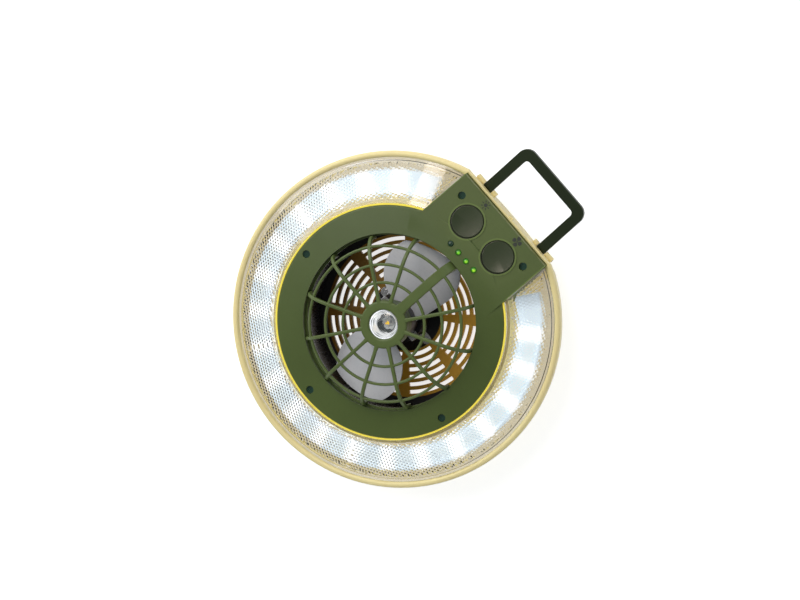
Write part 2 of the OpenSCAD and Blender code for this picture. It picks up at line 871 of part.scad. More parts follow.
module screw() {
    difference() {
        union() {
            rod(screw_shank_r, -screw_len, EPS);
            rod(screw_head_r, 0, screw_head_h);
        }
        for (a = [0, 90]) rotate([0, 0, a]) translate([-1.6, -0.35, screw_head_h - 1]) cube([3.2, 0.7, 2]);
    }
}

module cover_screws() {
    color("#1e3a2c") {
        ring_screws() translate([0, 0, cover_top(ring_screw_r) - ring_recess]) screw();
        panel_screws() translate([0, 0, panel_z(panel_screw[1]) - panel_recess]) screw();
    }
}

// ---- battery and charging socket ----

module battery_cells() {
    color("#4a7fb0") for (y = cell_y) translate([-cell_len / 2, y, cell_z]) rotate([0, 90, 0]) {
        cylinder(r = cell_r, h = cell_len - cell_tip[1]);
        cylinder(r = cell_tip[0], h = cell_len);
    }
}

module charge_socket() {
    back = wall_y - shell_t;
    color(CHARCOAL) difference() {
        union() {
            block([-socket_w / 2, back - socket_len, socket_z - socket_w / 2],
                [socket_w / 2, back, socket_z + socket_w / 2]);
            translate([0, back - EPS, socket_z]) rotate([-90, 0, 0]) cylinder(r = socket_r, h = shell_t);
        }
        translate([0, back - socket_len + 2, socket_z]) rotate([-90, 0, 0]) difference() {
            cylinder(r = socket_r - 0.5, h = FAR);
            cylinder(r = 0.8, h = socket_len);
        }
    }
}

// ---- motor ----

module motor_housing() {
    color(CHARCOAL) difference() {
        union() {
            rod(cup_flange_r, cup_z, cup_z + flange_h);
            rod(cup_r, cup_z, cup_z + cup_h);
        }
        rod(can_r + 0.05, cup_z - 1, can_z + can_h);
        rod(boss_hole_r, 0, FAR);
        for (s = [-1, 1]) translate([s * strap_screw_r, 0, 0]) rod(board_screw_r + 0.1, 0, FAR);
        block([-2.6, 0, 0], [2.6, FAR, cup_z + 1.6]);
    }
}

module motor_strap() {
    foot_z = cup_z + flange_h;
    top = cup_z + cup_h;
    side = cup_r + strap_t + 0.05;
    color(STEEL) intersection() {
        difference() {
            union() {
                block([-side, -strap_w / 2, foot_z], [side, strap_w / 2, top + strap_t]);
                block([-strap_screw_r, -strap_w / 2, foot_z], [strap_screw_r, strap_w / 2, foot_z + strap_t]);
                for (s = [-1, 1]) translate([s * strap_screw_r, 0, 0])
                    rod(strap_w / 2, foot_z, foot_z + strap_t);
            }
            rod(cup_r + 0.05, 0, top);
            rod(shaft_r + 1, 0, FAR);
            for (s = [-1, 1]) translate([s * strap_screw_r, 0, 0]) rod(board_screw_r + 0.1, 0, FAR);
        }
        rod(cup_flange_r + 2, 0, FAR);
    }
}

module motor_screws() {
    z = cup_z + flange_h + strap_t;
    color(STEEL) for (s = [-1, 1]) translate([s * strap_screw_r, 0, 0]) difference() {
        union() {
            rod(board_screw_r, disc_hole_z + 0.1, z + EPS);
            rod(motor_head[0], z, z + motor_head[1]);
        }
        for (a = [0, 90]) rotate([0, 0, a]) translate([-1.3, -0.3, z + motor_head[1] / 2]) cube([2.6, 0.6, 2]);
    }
}

module motor_can() {
    top = can_z + can_h;
    color(STEEL) difference() {
        union() {
            rod(can_r, can_z, top);
            rod(boss_hole_r - 0.2, top - EPS, top + boss_h);
        }
        rod(can_r - can_t, can_z - 1, top - can_t);
        rod(bushing_r, top - can_t - 1, top + boss_h + 1);
    }
}

module motor_magnets() {
    for (a = [0, 180]) color("#3c3c40") rotate([0, 0, a - magnet_half_angle])
        rotate_extrude(angle = 2 * magnet_half_angle)
            translate([can_r - can_t - magnet_t - EPS, can_z + end_cap_h + 1]) square([magnet_t, magnet_h]);
}

module motor_end_cap() {
    color("#e4e0d4") difference() {
        union() {
            rod(can_r - can_t - 0.02, can_z, can_z + end_cap_h);
            rod(can_r - 0.1, can_z - 0.8, can_z);
        }
        rod(bushing_r, can_z - 1, can_z + end_cap_h + 1);
    }
}

module motor_bushings() {
    color("#b08d3c") {
        tube(shaft_r + bore_fit, bushing_r - EPS, can_z - 0.8, can_z - 0.8 + bushing_h);
        tube(shaft_r + bore_fit, bushing_r - EPS, can_z + can_h + boss_h - bushing_h, can_z + can_h + boss_h);
    }
}

module motor_shaft() { color(STEEL) rod(shaft_r, can_z - 1.6, shaft_top); }

module armature() {
    color("#8a4a24") difference() {
        tube(shaft_r + EPS, armature_r, can_z + end_cap_h + 2.5, can_z + end_cap_h + 2.5 + armature_h);
        for (a = [0:120:240]) rotate([0, 0, a]) block([3.5, -0.8, 0], [FAR, 0.8, FAR]);
    }
}

module motor_leads() {
    z = disc_top + motor_lead_r + 2 * EPS;
    y = duct_out_r + 2.4;
    for (s = [-1, 1]) color(s < 0 ? "#1c1c1e" : "#8c2020") wire([[s * motor_lead_x, can_r - lead_start, z],
        [s * motor_lead_x, y, z], [s * motor_lead_x, y, panel_top - board_drop - 3.5]], motor_lead_r);
}

// ---- impeller ----

function corner_x(w, reach) = let (a = 1 + pow(blade_flare, 2), b = blade_flare * w)
    (-b + sqrt(b * b - a * (w * w - reach * reach))) / a;

// one blade seen along the axis: straight edges that flare a little, a round tip and round corners
module blade_outline() {
    w = blade_w - blade_corner * sqrt(1 + pow(blade_flare, 2));
    cx = corner_x(w, blade_r - blade_corner);
    c = [cx, w + blade_flare * cx];
    side = 90 + atan(blade_flare);
    tip = atan2(c[1], c[0]);
    half = concat([[6, blade_w + 6 * blade_flare]], arc(c, blade_corner, side, tip, 8),
        arc([0, 0], blade_r, tip, 0, 12));
    polygon(concat(half, [for (i = [len(half) - 2:-1:0]) [half[i][0], -half[i][1]]]));
}

module blade() {
    intersection() {
        translate([0, 0, -FAR / 2]) linear_extrude(FAR) blade_outline();
        rotate([blade_pitch, 0, 0]) translate([0, 0, -blade_camber_r]) rotate([0, 90, 0]) difference() {
            cylinder(r = blade_camber_r + blade_t / 2, h = blade_r + 1);
            translate([0, 0, -1]) cylinder(r = blade_camber_r - blade_t / 2, h = blade_r + 3);
        }
        rod(FAR, -FAR / 8, FAR / 8);
    }
}

module impeller() {
    edge = 3;
    color(GREY) difference() {
        union() {
            rotate_extrude() {
                translate([0, impeller_bottom]) square([impeller_r - edge, impeller_top - impeller_bottom]);
                translate([0, impeller_bottom]) square([impeller_r, impeller_top - impeller_bottom - edge]);
                translate([impeller_r - edge, impeller_top - edge]) circle(edge);
            }
            for (i = [0:blade_count - 1]) rotate([0, 0, blade_angle + i * 180])
                translate([0, 0, blade_z]) blade();
        }
        tube(shaft_seat_r, impeller_r - impeller_t, 0, impeller_top - impeller_t - 1);
        rod(shaft_seat_r + 1, 0, impeller_bottom + 1);
        rod(shaft_r + EPS, 0, shaft_top + 0.3);
    }
}

// ---- bail ----

module rounded(w, h, r) {
    translate([-w / 2, r]) square([w, h - 2 * r]);
    translate([-w / 2 + r, 0]) square([w - 2 * r, h]);
    for (x = [-1, 1], y = [r, h - r]) translate([x * (w / 2 - r), y]) circle(r);
}

module handle() {
    outer_w = leg_pitch + leg_w;
    inner_w = leg_pitch - leg_w;
    tail = 2.5 * bail_corner;
    color(DARK_GREEN) translate([bail_x, 0, 0]) difference() {
        union() {
            translate([0, hinge_y, hinge_z - bail_t / 2]) linear_extrude(bail_t) difference() {
                translate([0, -tail]) rounded(outer_w, bail_len + tail, bail_corner);
                translate([0, -tail]) rounded(inner_w, bail_len - leg_w + tail, bail_inner_corner);
                translate([-FAR / 2, -FAR]) square(FAR);
            }
            for (s = [-1, 1]) translate([s * leg_pitch / 2 - leg_w / 2, hinge_y, hinge_z])
                rotate([0, 90, 0]) cylinder(r = bail_t / 2, h = leg_w);
        }
        translate([-FAR / 2, hinge_y, hinge_z]) rotate([0, 90, 0]) cylinder(r = pin_r + bore_fit, h = FAR);
    }
}

module handle_pins() {
    start = leg_pitch / 2 - leg_w / 2 - run - inner_knuckle;
    length = inner_knuckle + outer_knuckle + leg_w + 2 * run;
    color(STEEL) translate([bail_x, 0, 0]) for (s = [0, 1]) mirror([s, 0, 0])
        translate([start, hinge_y, hinge_z]) rotate([0, 90, 0]) cylinder(r = pin_r, h = length + 0.4);
}

rear_housing();
rear_grille();
fan_duct();
front_cover();
front_grille();
lens_ring();
light_tray();
led_board();
ring_leds();
spot_lens();
spot_reflector();
spot_led();
spot_board();
spot_cap();
spot_leads();
light_button();
fan_button();
indicator_lights();
control_board();
tact_switches();
board_screws();
battery_cells();
charge_socket();
cover_screws();
motor_housing();
motor_strap();
motor_screws();
motor_can();
motor_magnets();
motor_end_cap();
motor_bushings();
motor_shaft();
armature();
motor_leads();
impeller();
handle();
handle_pins();
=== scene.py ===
"""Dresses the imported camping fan: rounded mouldings, domed grille, prism lens, ring light, finishes."""

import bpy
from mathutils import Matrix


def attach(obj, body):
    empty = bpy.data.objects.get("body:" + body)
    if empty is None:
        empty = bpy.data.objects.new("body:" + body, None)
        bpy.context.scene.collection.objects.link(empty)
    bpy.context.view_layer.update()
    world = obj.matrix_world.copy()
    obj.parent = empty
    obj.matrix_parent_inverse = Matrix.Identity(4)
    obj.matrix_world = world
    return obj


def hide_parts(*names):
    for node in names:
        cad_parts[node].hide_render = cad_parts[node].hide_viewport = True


bl_info = {
    "name": "Camping Fan with Ring Light",
    "version": (1, 0, 0),
    "blender": (4, 5, 0),
    "location": "3D View > Sidebar > Camping Fan",
    "description": "Builds the visible pieces and finishes of a disc-shaped camping fan",
    "category": "Add Mesh",
}

import math

import bmesh
import bpy
from bpy.props import FloatProperty, FloatVectorProperty, IntProperty, PointerProperty
from mathutils import Matrix, Vector
from mathutils.geometry import delaunay_2d_cdt

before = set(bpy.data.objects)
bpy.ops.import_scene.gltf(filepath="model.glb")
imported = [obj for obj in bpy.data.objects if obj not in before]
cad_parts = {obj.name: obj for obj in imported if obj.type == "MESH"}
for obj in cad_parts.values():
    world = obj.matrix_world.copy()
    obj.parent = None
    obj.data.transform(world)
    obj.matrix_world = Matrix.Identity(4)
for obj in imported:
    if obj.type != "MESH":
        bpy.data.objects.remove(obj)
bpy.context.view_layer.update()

MM = 0.001
FULL_TURN = 2 * math.pi
QUARTER = math.pi / 2
BLACK = (0.0, 0.0, 0.0)

# the sizes that the looks share with the solids, in millimetres
BEND_Z, BEND_R, BEND_START = 50.1, 19.4, 43.0
HUB_R, HUB_HOLE_R, HUB_LOW, HUB_TOP = 17.0, 10.4, 60.5, 69.5
DUCT_TOP, DUCT_OUT = 44.8, 66.2
PANEL_Y, PANEL_TOP, PANEL_TILT = 72.0, 52.0909, math.radians(15)
LENS_OUT, LENS_IN, LENS_EDGE_Z, LENS_RISE, LENS_WALL = 115.3, 84.3, 36.0, 13.8, 2.0
LENS_CUT_X = 43.2
LED_Z, LED_R, LED_ARC, LED_COUNT = 34.4, 98.25, math.radians(267), 19
SPOT_Z = 66.9
BUTTON_Y, BUTTON_X = 89.3, 16.5
LIGHT_Y, LIGHT_STEP = 71.0, 8.2
COVER_Z, COVER_SLOPE, OPENING_R = 53.0, 2 / 19.8, 63.0
COLLAR_IN, COLLAR_OUT = 82.4, 84.6
ROTOR_Z, ROTOR_HUB_R = 38, 14.5


def length(name, description, default):
    return FloatProperty(name=name, description=description, default=default * MM, min=0, unit="LENGTH")


def colour(name, description, default):
    return FloatVectorProperty(name=name, description=description, default=default, size=3, min=0, max=1,
                               subtype="COLOR")


class FanSizes(bpy.types.PropertyGroup):
    """Sizes of the details that the visible pieces add to the solids."""
    cover_edge: length("Cover edge", "Radius of the rounded edges of the front cover", 0.5)
    bail_edge: length("Bail edge", "Radius of the rounded edges of the bail", 1.1)
    fine_edge: length("Fine edge", "Radius of the rounded edges of small pieces", 0.3)
    spoke_count: IntProperty(name="Spokes", description="Spokes of the grille, the wide one included",
                             default=12, min=8, max=16)
    spoke_width: length("Spoke width", "Width of a spoke of the grille", 2.5)
    spoke_depth: length("Spoke depth", "Depth of a spoke of the grille", 3.0)
    wide_spoke: length("Wide spoke", "Width of the spoke that covers the spot light's leads", 7.0)
    ring_width: length("Ring width", "Width of a ring of the grille", 2.0)
    cage_edge: length("Grille edge", "Radius of the rounded edges of the grille", 0.75)
    prism_pitch: length("Prism pitch", "Distance between the prisms under the lens", 2.3)
    prism_depth: length("Prism depth", "Height of a prism under the lens", 0.62)
    icon_size: length("Icon size", "Radius of the printed sign beside a button", 3.4)


class FanColours(bpy.types.PropertyGroup):
    """Colours of the finishes."""
    shell: colour("Shell", "Tan of the shell", (0.98, 0.84, 0.42))
    rear: colour("Rear grille", "Amber of the rear grille", (0.62, 0.34, 0.035))
    cover: colour("Cover", "Green of the front cover", (0.078, 0.118, 0.026))
    cage: colour("Grille", "Green of the grille", (0.104, 0.150, 0.044))
    button: colour("Buttons", "Dark green of the buttons", (0.022, 0.038, 0.010))
    bail: colour("Bail", "Dark green of the bail", (0.012, 0.023, 0.005))
    duct: colour("Duct", "Charcoal of the duct and the motor cup", (0.022, 0.021, 0.024))
    blade: colour("Blades", "Grey of the impeller", (0.70, 0.72, 0.77))
    light: colour("Light", "Bluish white of the ring light", (0.75, 0.87, 0.95))
    charge: colour("Battery lights", "Green of the battery lights", (0.10, 0.75, 0.02))


class FanStage(bpy.types.PropertyGroup):
    """Camera and light."""
    camera_distance: FloatProperty(name="Camera distance", description="Distance from the camera to the fan",
                                   default=4.0, min=0.5, unit="LENGTH")
    key_power: FloatProperty(name="Key light", description="Power of the warm softbox", default=4.0, min=0,
                             unit="POWER")
    fill_power: FloatProperty(name="Fill light", description="Power of the broad overhead light", min=0,
                              default=17.0, unit="POWER")


# ---- node trees ----

class Value:
    """A socket in a node tree; the usual operators add Math nodes."""

    def __init__(self, graph, socket):
        self.graph, self.socket = graph, socket

    def _math(self, operation, *values):
        return self.graph.add("ShaderNodeMath", {"operation": operation}, dict(enumerate(values)))

    def __add__(self, other): return self._math("ADD", self, other)
    def __sub__(self, other): return self._math("SUBTRACT", self, other)
    def __mul__(self, other): return self._math("MULTIPLY", self, other)
    def __truediv__(self, other): return self._math("DIVIDE", self, other)
    def __rsub__(self, other): return self._math("SUBTRACT", other, self)
    def __rtruediv__(self, other): return self._math("DIVIDE", other, self)
    __radd__, __rmul__ = __add__, __mul__

    def apply(self, operation, *others): return self._math(operation, self, *others)

    def clamp(self, top=1.0): return self.apply("MAXIMUM", 0.0).apply("MINIMUM", top)

    def abs(self): return self.apply("ABSOLUTE")

    def ramp(self, low, high):
        """0 below low, 1 above high, straight between; high may be the lower of the two."""
        return ((self - low) / (high - low)).clamp()

    def between(self, low, high, soft):
        """1 between low and high, with a soft edge inside each."""
        return self.ramp(low, low + soft) * self.ramp(high, high - soft)


class Graph:
    """Adds nodes to a tree: a type, its settings, then the values or links of its sockets."""

    def __init__(self, tree):
        self.tree = tree

    def add(self, kind, settings=None, sockets=None, out=0):
        node = self.tree.nodes.new(kind)
        for key, value in (settings or {}).items():
            setattr(node, key, value)
        for key, value in (sockets or {}).items():
            for item in value if isinstance(value, list) else [value]:
                if isinstance(item, Value):
                    self.tree.links.new(item.socket, node.inputs[key])
                else:
                    node.inputs[key].default_value = item
        return Value(self, node.outputs[out])

    def split(self, vector):
        node = self.tree.nodes.new("ShaderNodeSeparateXYZ")
        self.tree.links.new(vector.socket, node.inputs[0])
        return [Value(self, s) for s in node.outputs]

    def vector(self, x=0.0, y=0.0, z=0.0):
        return self.add("ShaderNodeCombineXYZ", sockets={0: x, 1: y, 2: z})


class Look(Graph):
    """A material with one Principled shader, patterned in object coordinates."""

    def __init__(self, name):
        self.material = bpy.data.materials.new(name)
        self.material.use_nodes = True
        super().__init__(self.material.node_tree)
        self.tree.nodes.clear()
        self.output = self.tree.nodes.new("ShaderNodeOutputMaterial")
        self.shader = self.tree.nodes.new("ShaderNodeBsdfPrincipled")
        self.tree.links.new(self.shader.outputs[0], self.output.inputs["Surface"])
        self.place = self.add("ShaderNodeTexCoord", out="Object")

    def polar(self):
        """The object coordinates and the distance from the fan axis."""
        x, y, z = self.split(self.place)
        return x, y, z, (x * x + y * y).apply("SQRT")

    def noise(self, scale, detail=2.0, place=None):
        return self.add("ShaderNodeTexNoise", {}, {"Vector": place or self.place, "Scale": scale,
                                                   "Detail": detail})

    def mix(self, factor, a, b):
        full = [c if isinstance(c, Value) else (*c, 1.0) for c in (a, b)]
        return self.add("ShaderNodeMix", {"data_type": "RGBA"}, {0: factor, 6: full[0], 7: full[1]}, out=2)

    def bump(self, height, strength, distance):
        return self.add("ShaderNodeBump", {}, {"Height": height, "Strength": strength, "Distance": distance})

    def finish(self, **sockets):
        for key, value in sockets.items():
            socket = self.shader.inputs[key.replace("_", " ")]
            if isinstance(value, Value):
                self.tree.links.new(value.socket, socket)
            else:
                socket.default_value = (*value, 1.0) if socket.type == "RGBA" else value
        return self.material


class Moulding(Look):
    """Moulded plastic: a slow drift of tone, fine specks, a sparked grain and uneven gloss."""

    def __init__(self, name, patch_scale=14.0):
        super().__init__(name)
        self.patch, self.speck = self.noise(patch_scale, 3.0), self.noise(520.0, 1.0)

    def specked(self, base, share, tone):
        return self.mix(self.speck.ramp(0.55, 0.75) * share, base, tone)

    def drifting(self, tone, low, high, share=0.25, dark=0.8):
        base = self.mix(self.patch.ramp(0.3, 0.7), tinted(tone, low), tinted(tone, high))
        return self.specked(base, share, tinted(tone, dark))

    def cast(self, base, roughness, grain, fine=0.06, **sockets):
        gloss = roughness + (self.patch - 0.5) * 0.12
        if fine:
            gloss = gloss + (self.speck - 0.5) * fine
        return self.finish(Base_Color=base, Roughness=gloss,
                           Normal=self.bump(self.noise(2200.0), grain, 0.04 * MM), **sockets)


def tinted(tone, factor):
    return tuple(min(1.0, c * factor) for c in tone)


def moulded(name, tone, roughness, drift=0.1, grain=0.25, coat=0.0, gloss=0.5):
    """Plain moulded plastic of one tone."""
    look = Moulding(name)
    return look.cast(look.drifting(tone, 1 - drift, 1 + drift), roughness, grain, Coat_Weight=coat,
                     Coat_Roughness=0.25, Specular_IOR_Level=gloss)


def shell_plastic(tone):
    """Tan plastic with painted light: the collar beside the lens is painted bright yellow and glows, as if
    light came through it; the inside under the lens is painted pale and glows, as if lit by the ring light.
    """
    look = Moulding("tan_plastic_look")
    x, y, z, radius = look.polar()
    # painted light: the collar is painted bright yellow and made to glow, as if the ring light shone through
    # it
    collar = radius.between(COLLAR_IN * MM, COLLAR_OUT * MM, 0.0004) * z.ramp(0.0470, 0.0485)
    facing = look.split(look.add("ShaderNodeNewGeometry", out="True Normal"))[2]
    under_panel = x.abs().ramp(0.0435, 0.0430) * y.ramp(0.068, 0.070)
    # painted light: the inside under the lens is painted pale and made to glow, as if lit by the ring light
    ring_light_pool = (radius.between(0.0842, 0.1155, 0.0003) * z.ramp(0.0365, 0.0360) * facing.ramp(0.1, 0.2)
              * y.ramp(0.1085, 0.1080) * (1.0 - under_panel))
    base = look.mix(ring_light_pool, look.drifting(tone, 0.96, 1.05, 0.2, 0.85), (0.68, 0.63, 0.56))
    glow = look.mix(collar, look.mix(ring_light_pool, BLACK, (0.40, 0.37, 0.32)), (0.55, 0.42, 0.02))
    return look.cast(look.mix(collar, base, (0.90, 0.78, 0.12)), 0.34, 0.2, Emission_Color=glow,
                     Emission_Strength=0.5)


def cover_plastic(tone):
    """Green plastic with painted highlights on the raised rings round the buttons and along the panel's side
    edges, and painted shade in the gap round each button.
    """
    look = Moulding("green_plastic_look")
    x, y, _ = look.split(look.place)
    aside = x.abs() - BUTTON_X * MM
    along = (y - BUTTON_Y * MM) / math.cos(PANEL_TILT)
    reach = (aside * aside + along * along).apply("SQRT")
    # painted shade: the gap round each button is painted near black
    gap = reach.ramp(0.0121, 0.0119)
    # painted highlight: the raised ring round each button and the panel's side edges are painted paler
    ring = reach.ramp(0.0121, 0.0123) * reach.ramp(0.0134, 0.0131)
    edge = x.abs().ramp(0.0422, 0.0427) * y.ramp(0.070, 0.076)
    base = look.mix((ring * 0.5).apply("MAXIMUM", edge * 0.85), look.drifting(tone, 0.9, 1.1),
                    tinted(tone, 2.2))
    return look.cast(look.mix(gap, base, tinted(tone, 0.12)), 0.36, 0.3, Coat_Weight=0.15, Coat_Roughness=0.3)


def amber_plastic(tone):
    """Translucent amber with painted light and shade: painted shade makes one side deep brown, a painted glow
    makes the other side golden as if daylight shone through, dark at its rim.
    """
    look = Moulding("amber_plastic_look", 30.0)
    x, y, _, radius = look.polar()
    # painted shade and light: this ramp darkens one side to deep brown and, in the glow below, lights the
    # other side
    side = (x * 0.67 + y * 0.74).ramp(-0.045, 0.035)
    base = look.mix(side, tinted(tone, 0.3), tone)
    base = look.mix(look.patch.ramp(0.3, 0.8) * 0.35, base, tinted(tone, 0.45))
    base = look.specked(base, 0.25, tinted(tone, 0.7))
    rim = radius.ramp(0.0585, 0.0590)
    # painted light: the golden side glows, the rim does not
    glow = look.mix(rim, look.mix(side * 0.8, (0.02, 0.006, 0.0), tinted(tone, 0.5)), BLACK)
    return look.cast(look.mix(rim, base, (0.022, 0.020, 0.022)), 0.36, 0.3, 0.0, Emission_Color=glow,
                     Emission_Strength=0.35)


def duct_plastic(tone):
    """Black plastic with long streaks round the bore: they vary its gloss and bump, and lighten its colour a
    little as a painted reflection.
    """
    look = Look("duct_plastic_look")
    x, y, z = look.split(look.place)
    streak_sheen = look.noise(6.0, 3.0, look.vector(x.apply("ARCTAN2", y) * 3.0, 0.0, z * 2.0))
    # painted reflection: the streaks lighten the colour a little, besides their real changes of gloss and
    # bump
    return look.finish(Base_Color=look.mix(streak_sheen, tinted(tone, 0.7), tinted(tone, 1.5)),
                       Roughness=0.24 + streak_sheen.ramp(0.4, 0.8) * 0.14, Normal=look.bump(streak_sheen, 0.12, 0.0006),
                       Coat_Weight=0.2 + streak_sheen * 0.2)


def metal(name, tone, roughness, stretch=(1.0, 1.0, 1.0)):
    """Bare metal with fine scratches along one way and a faint stain."""
    look = Look(name)
    mapped = look.add("ShaderNodeMapping", {}, {"Vector": look.place, "Scale": stretch})
    scratch = look.noise(900.0, 3.0, mapped)
    base = look.mix(look.noise(60.0).ramp(0.35, 0.75), tone, tinted(tone, 0.78))
    return look.finish(Base_Color=base, Metallic=1.0, Roughness=roughness + (scratch - 0.5) * 0.12,
                       Normal=look.bump(scratch, 0.1, 0.00002))


def rippled_mirror():
    """Bright reflector with rings pressed into it: its colour is painted in bright and dark rings as a
    painted reflection and glows in that tone as painted light; darker near its foot.
    """
    look = Look("reflector_look")
    x, y, z = look.split(look.place)
    ring = (z * 2400.0).apply("SINE")
    facet = (x.apply("ARCTAN2", y) * 5.0).apply("SINE")
    # painted reflection: bright and dark rings in the colour stand in for what the reflector mirrors
    tone = look.mix((ring + facet * 0.6).ramp(0.5, 1.1), (0.92, 0.93, 0.95), (0.30, 0.32, 0.32))
    tone = look.mix(z.ramp(0.0603, 0.0598), tone, (0.06, 0.07, 0.07))
    # painted light: the reflector glows in the tone of its painted rings
    return look.finish(Base_Color=tone, Metallic=0.7, Emission_Color=tone, Emission_Strength=0.5,
                       Roughness=0.16 + look.noise(300.0) * 0.1,
                       Normal=look.bump(ring + facet * 0.5, 0.25, 0.0002))


def spot_light_face(tone):
    """A silvery package with a small yellow chip in its middle."""
    look = Look("spot_led_look")
    speck = look.noise(900.0, 1.0)
    chip = look.polar()[3].ramp(0.00105, 0.0008)
    pale = look.mix(speck, (0.55, 0.56, 0.56), (0.7, 0.7, 0.68))
    return look.finish(Base_Color=look.mix(chip, pale, tinted(tone, 0.9)), Roughness=0.3 + speck * 0.15,
                       Emission_Color=look.mix(chip, BLACK, tone), Emission_Strength=0.6)


def circuit_board(name, mask, copper):
    """A lacquered board with tracks under the lacquer and bright pads."""
    look = Look(name)
    x, y, _ = look.split(look.place)
    track = (x * 900.0 + look.noise(40.0) * 9.0).apply("SINE").ramp(0.55, 0.7)
    cross = (y * 700.0 + look.noise(55.0) * 7.0).apply("SINE").ramp(0.75, 0.85)
    cells = look.add("ShaderNodeTexVoronoi", {}, {"Vector": look.place, "Scale": 260.0}, out="Distance")
    pad = cells.ramp(0.16, 0.12)
    lacquer = look.mix(track.apply("MAXIMUM", cross), mask, tinted(mask, 1.6))
    return look.finish(Base_Color=look.mix(pad, lacquer, copper), Roughness=0.32 + track * 0.1,
                       Metallic=pad * 0.8, Normal=look.bump(track, 0.3, 0.00006))


def lit_trough(name, light, base):
    """White trough and board, lit by the LEDs: a bluish glow with a soft white bar over each LED."""
    look = Look(name)
    x, y, _, radius = look.polar()
    step, last = LED_ARC / (LED_COUNT - 1), (LED_COUNT - 1) / 2
    turn = x.apply("ARCTAN2", y * -1.0) / step
    nearest = turn.apply("ROUND")
    across = (turn - nearest).abs() * step * radius
    bar = across.ramp(0.0070, 0.0030) * nearest.abs().ramp(last + 0.6, last + 0.4)
    along = (radius - LED_R * MM).abs().ramp(0.0115, 0.0080)
    cloud = look.noise(90.0)
    glow = look.mix(bar * along, light, (1.3, 1.3, 1.3))
    glow = look.mix(turn.abs().ramp(last + 0.95, last + 0.7), tinted(light, 0.55), glow)
    return look.finish(Base_Color=look.mix(cloud, base, tinted(base, 1.1)), Roughness=0.6,
                       Emission_Color=look.mix(cloud * 0.12, glow, tinted(light, 0.9)), Emission_Strength=0.7,
                       Normal=look.bump(cloud, 0.1, 0.0001))


def glowing(name, tone, base, strength):
    """A small light: its own colour, brighter in the middle of each speck of phosphor."""
    look = Look(name)
    speck = look.noise(900.0, 1.0)
    return look.finish(Base_Color=look.mix(speck, base, tinted(base, 0.8)), Roughness=0.3 + speck * 0.15,
                       Emission_Color=look.mix(speck.ramp(0.3, 0.7), tinted(tone, 0.85), tone),
                       Emission_Strength=strength)


def battery_lights(tone):
    """Four green domes with a bright spot beside the middle: the one at the lowest x is off."""
    look = Look("battery_light_domes")
    x, y, _ = look.split(look.place)
    step = x / (LIGHT_STEP * MM) + 0.5
    lit, power = x.ramp(-0.0090, -0.0080), x.ramp(-0.010, 0.014)
    swirl = look.noise(700.0, 1.0)
    dx = (step - step.apply("ROUND")) * (LIGHT_STEP * MM) - 0.0004
    dy = y - (LIGHT_Y + 0.3) * MM
    spot = (dx * dx + dy * dy).apply("SQRT").ramp(0.0014, 0.0003)
    edge = look.mix(power, tinted(tone, 0.08), tinted(tone, 0.17))
    hot = look.mix(power, (0.16, 0.72, 0.03), (0.52, 0.98, 0.03))
    glow = look.mix(lit * spot, look.mix(lit, (0.001, 0.008, 0.004), edge), hot)
    return look.finish(Base_Color=look.mix(lit, (0.004, 0.03, 0.014), tinted(tone, 0.15)),
                       Roughness=0.12 + swirl * 0.08, Emission_Color=glow, Emission_Strength=0.9,
                       Coat_Weight=0.4 + swirl * 0.2)


def clear_plastic(name, tint, roughness):
    """Clear polycarbonate with a little uneven gloss."""
    look = Look(name)
    haze = look.noise(35.0)
    return look.finish(Base_Color=look.mix(haze, tint, tinted(tint, 0.985)),
                       Roughness=roughness + haze * 0.03, IOR=1.49, Transmission_Weight=1.0)


def printed_ink():
    """Dark ink, worn in fine specks."""
    look = Look("printed_ink")
    wear = look.noise(1500.0, 3.0)
    return look.finish(Base_Color=look.mix(wear.ramp(0.4, 0.8), (0.024, 0.030, 0.026), (0.05, 0.062, 0.045)),
                       Roughness=0.5 + wear * 0.15)


def cell_wrap():
    """Shrink wrap of a battery cell with a pale band near each end."""
    look = Look("cell_wrap")
    ripple = look.noise(300.0, 3.0)
    band = look.split(look.place)[0].abs().between(0.019, 0.022, 0.0005)
    return look.finish(Base_Color=look.mix(band, look.mix(ripple, (0.03, 0.12, 0.26), (0.05, 0.17, 0.34)),
                                           (0.75, 0.76, 0.78)),
                       Roughness=0.25 + ripple * 0.15, Normal=look.bump(ripple, 0.2, 0.0002))


def wound_copper():
    """Lacquered copper windings, laid side by side round the armature."""
    look = Look("wound_copper")
    z = look.split(look.place)[2]
    wires = (z * 9000.0 + look.noise(120.0) * 3.0).apply("SINE") * 0.5 + 0.5
    return look.finish(Base_Color=look.mix(wires, (0.32, 0.10, 0.035), (0.55, 0.20, 0.08)), Metallic=0.8,
                       Roughness=0.3 + wires * 0.2, Normal=look.bump(wires, 0.5, 0.0001))


def wire_cover():
    """Insulation of the leads: black on the -X side and red on the other."""
    look = Look("wire_cover")
    grain = look.noise(800.0)
    side = look.split(look.place)[0].ramp(-0.0001, 0.0001)
    return look.finish(Base_Color=look.mix(side, (0.012, 0.012, 0.014), (0.30, 0.02, 0.015)),
                       Roughness=0.45 + grain * 0.2, Normal=look.bump(grain, 0.2, 0.00005))


# ---- meshes ----

def new_object(name, mesh):
    made = bpy.data.objects.new(name, mesh)
    bpy.context.scene.collection.objects.link(made)
    return made


def mesh_object(name, bm):
    """A new object from an edit mesh, which it frees."""
    mesh = bpy.data.meshes.new(name)
    bm.to_mesh(mesh)
    bm.free()
    return new_object(name, mesh)


def apply_modifiers(made):
    """Turns an object's modifiers into its plain mesh."""
    bpy.context.view_layer.update()
    done = bpy.data.meshes.new_from_object(made.evaluated_get(bpy.context.evaluated_depsgraph_get()))
    made.modifiers.clear()
    old, made.data = made.data, done
    bpy.data.meshes.remove(old)
    return made


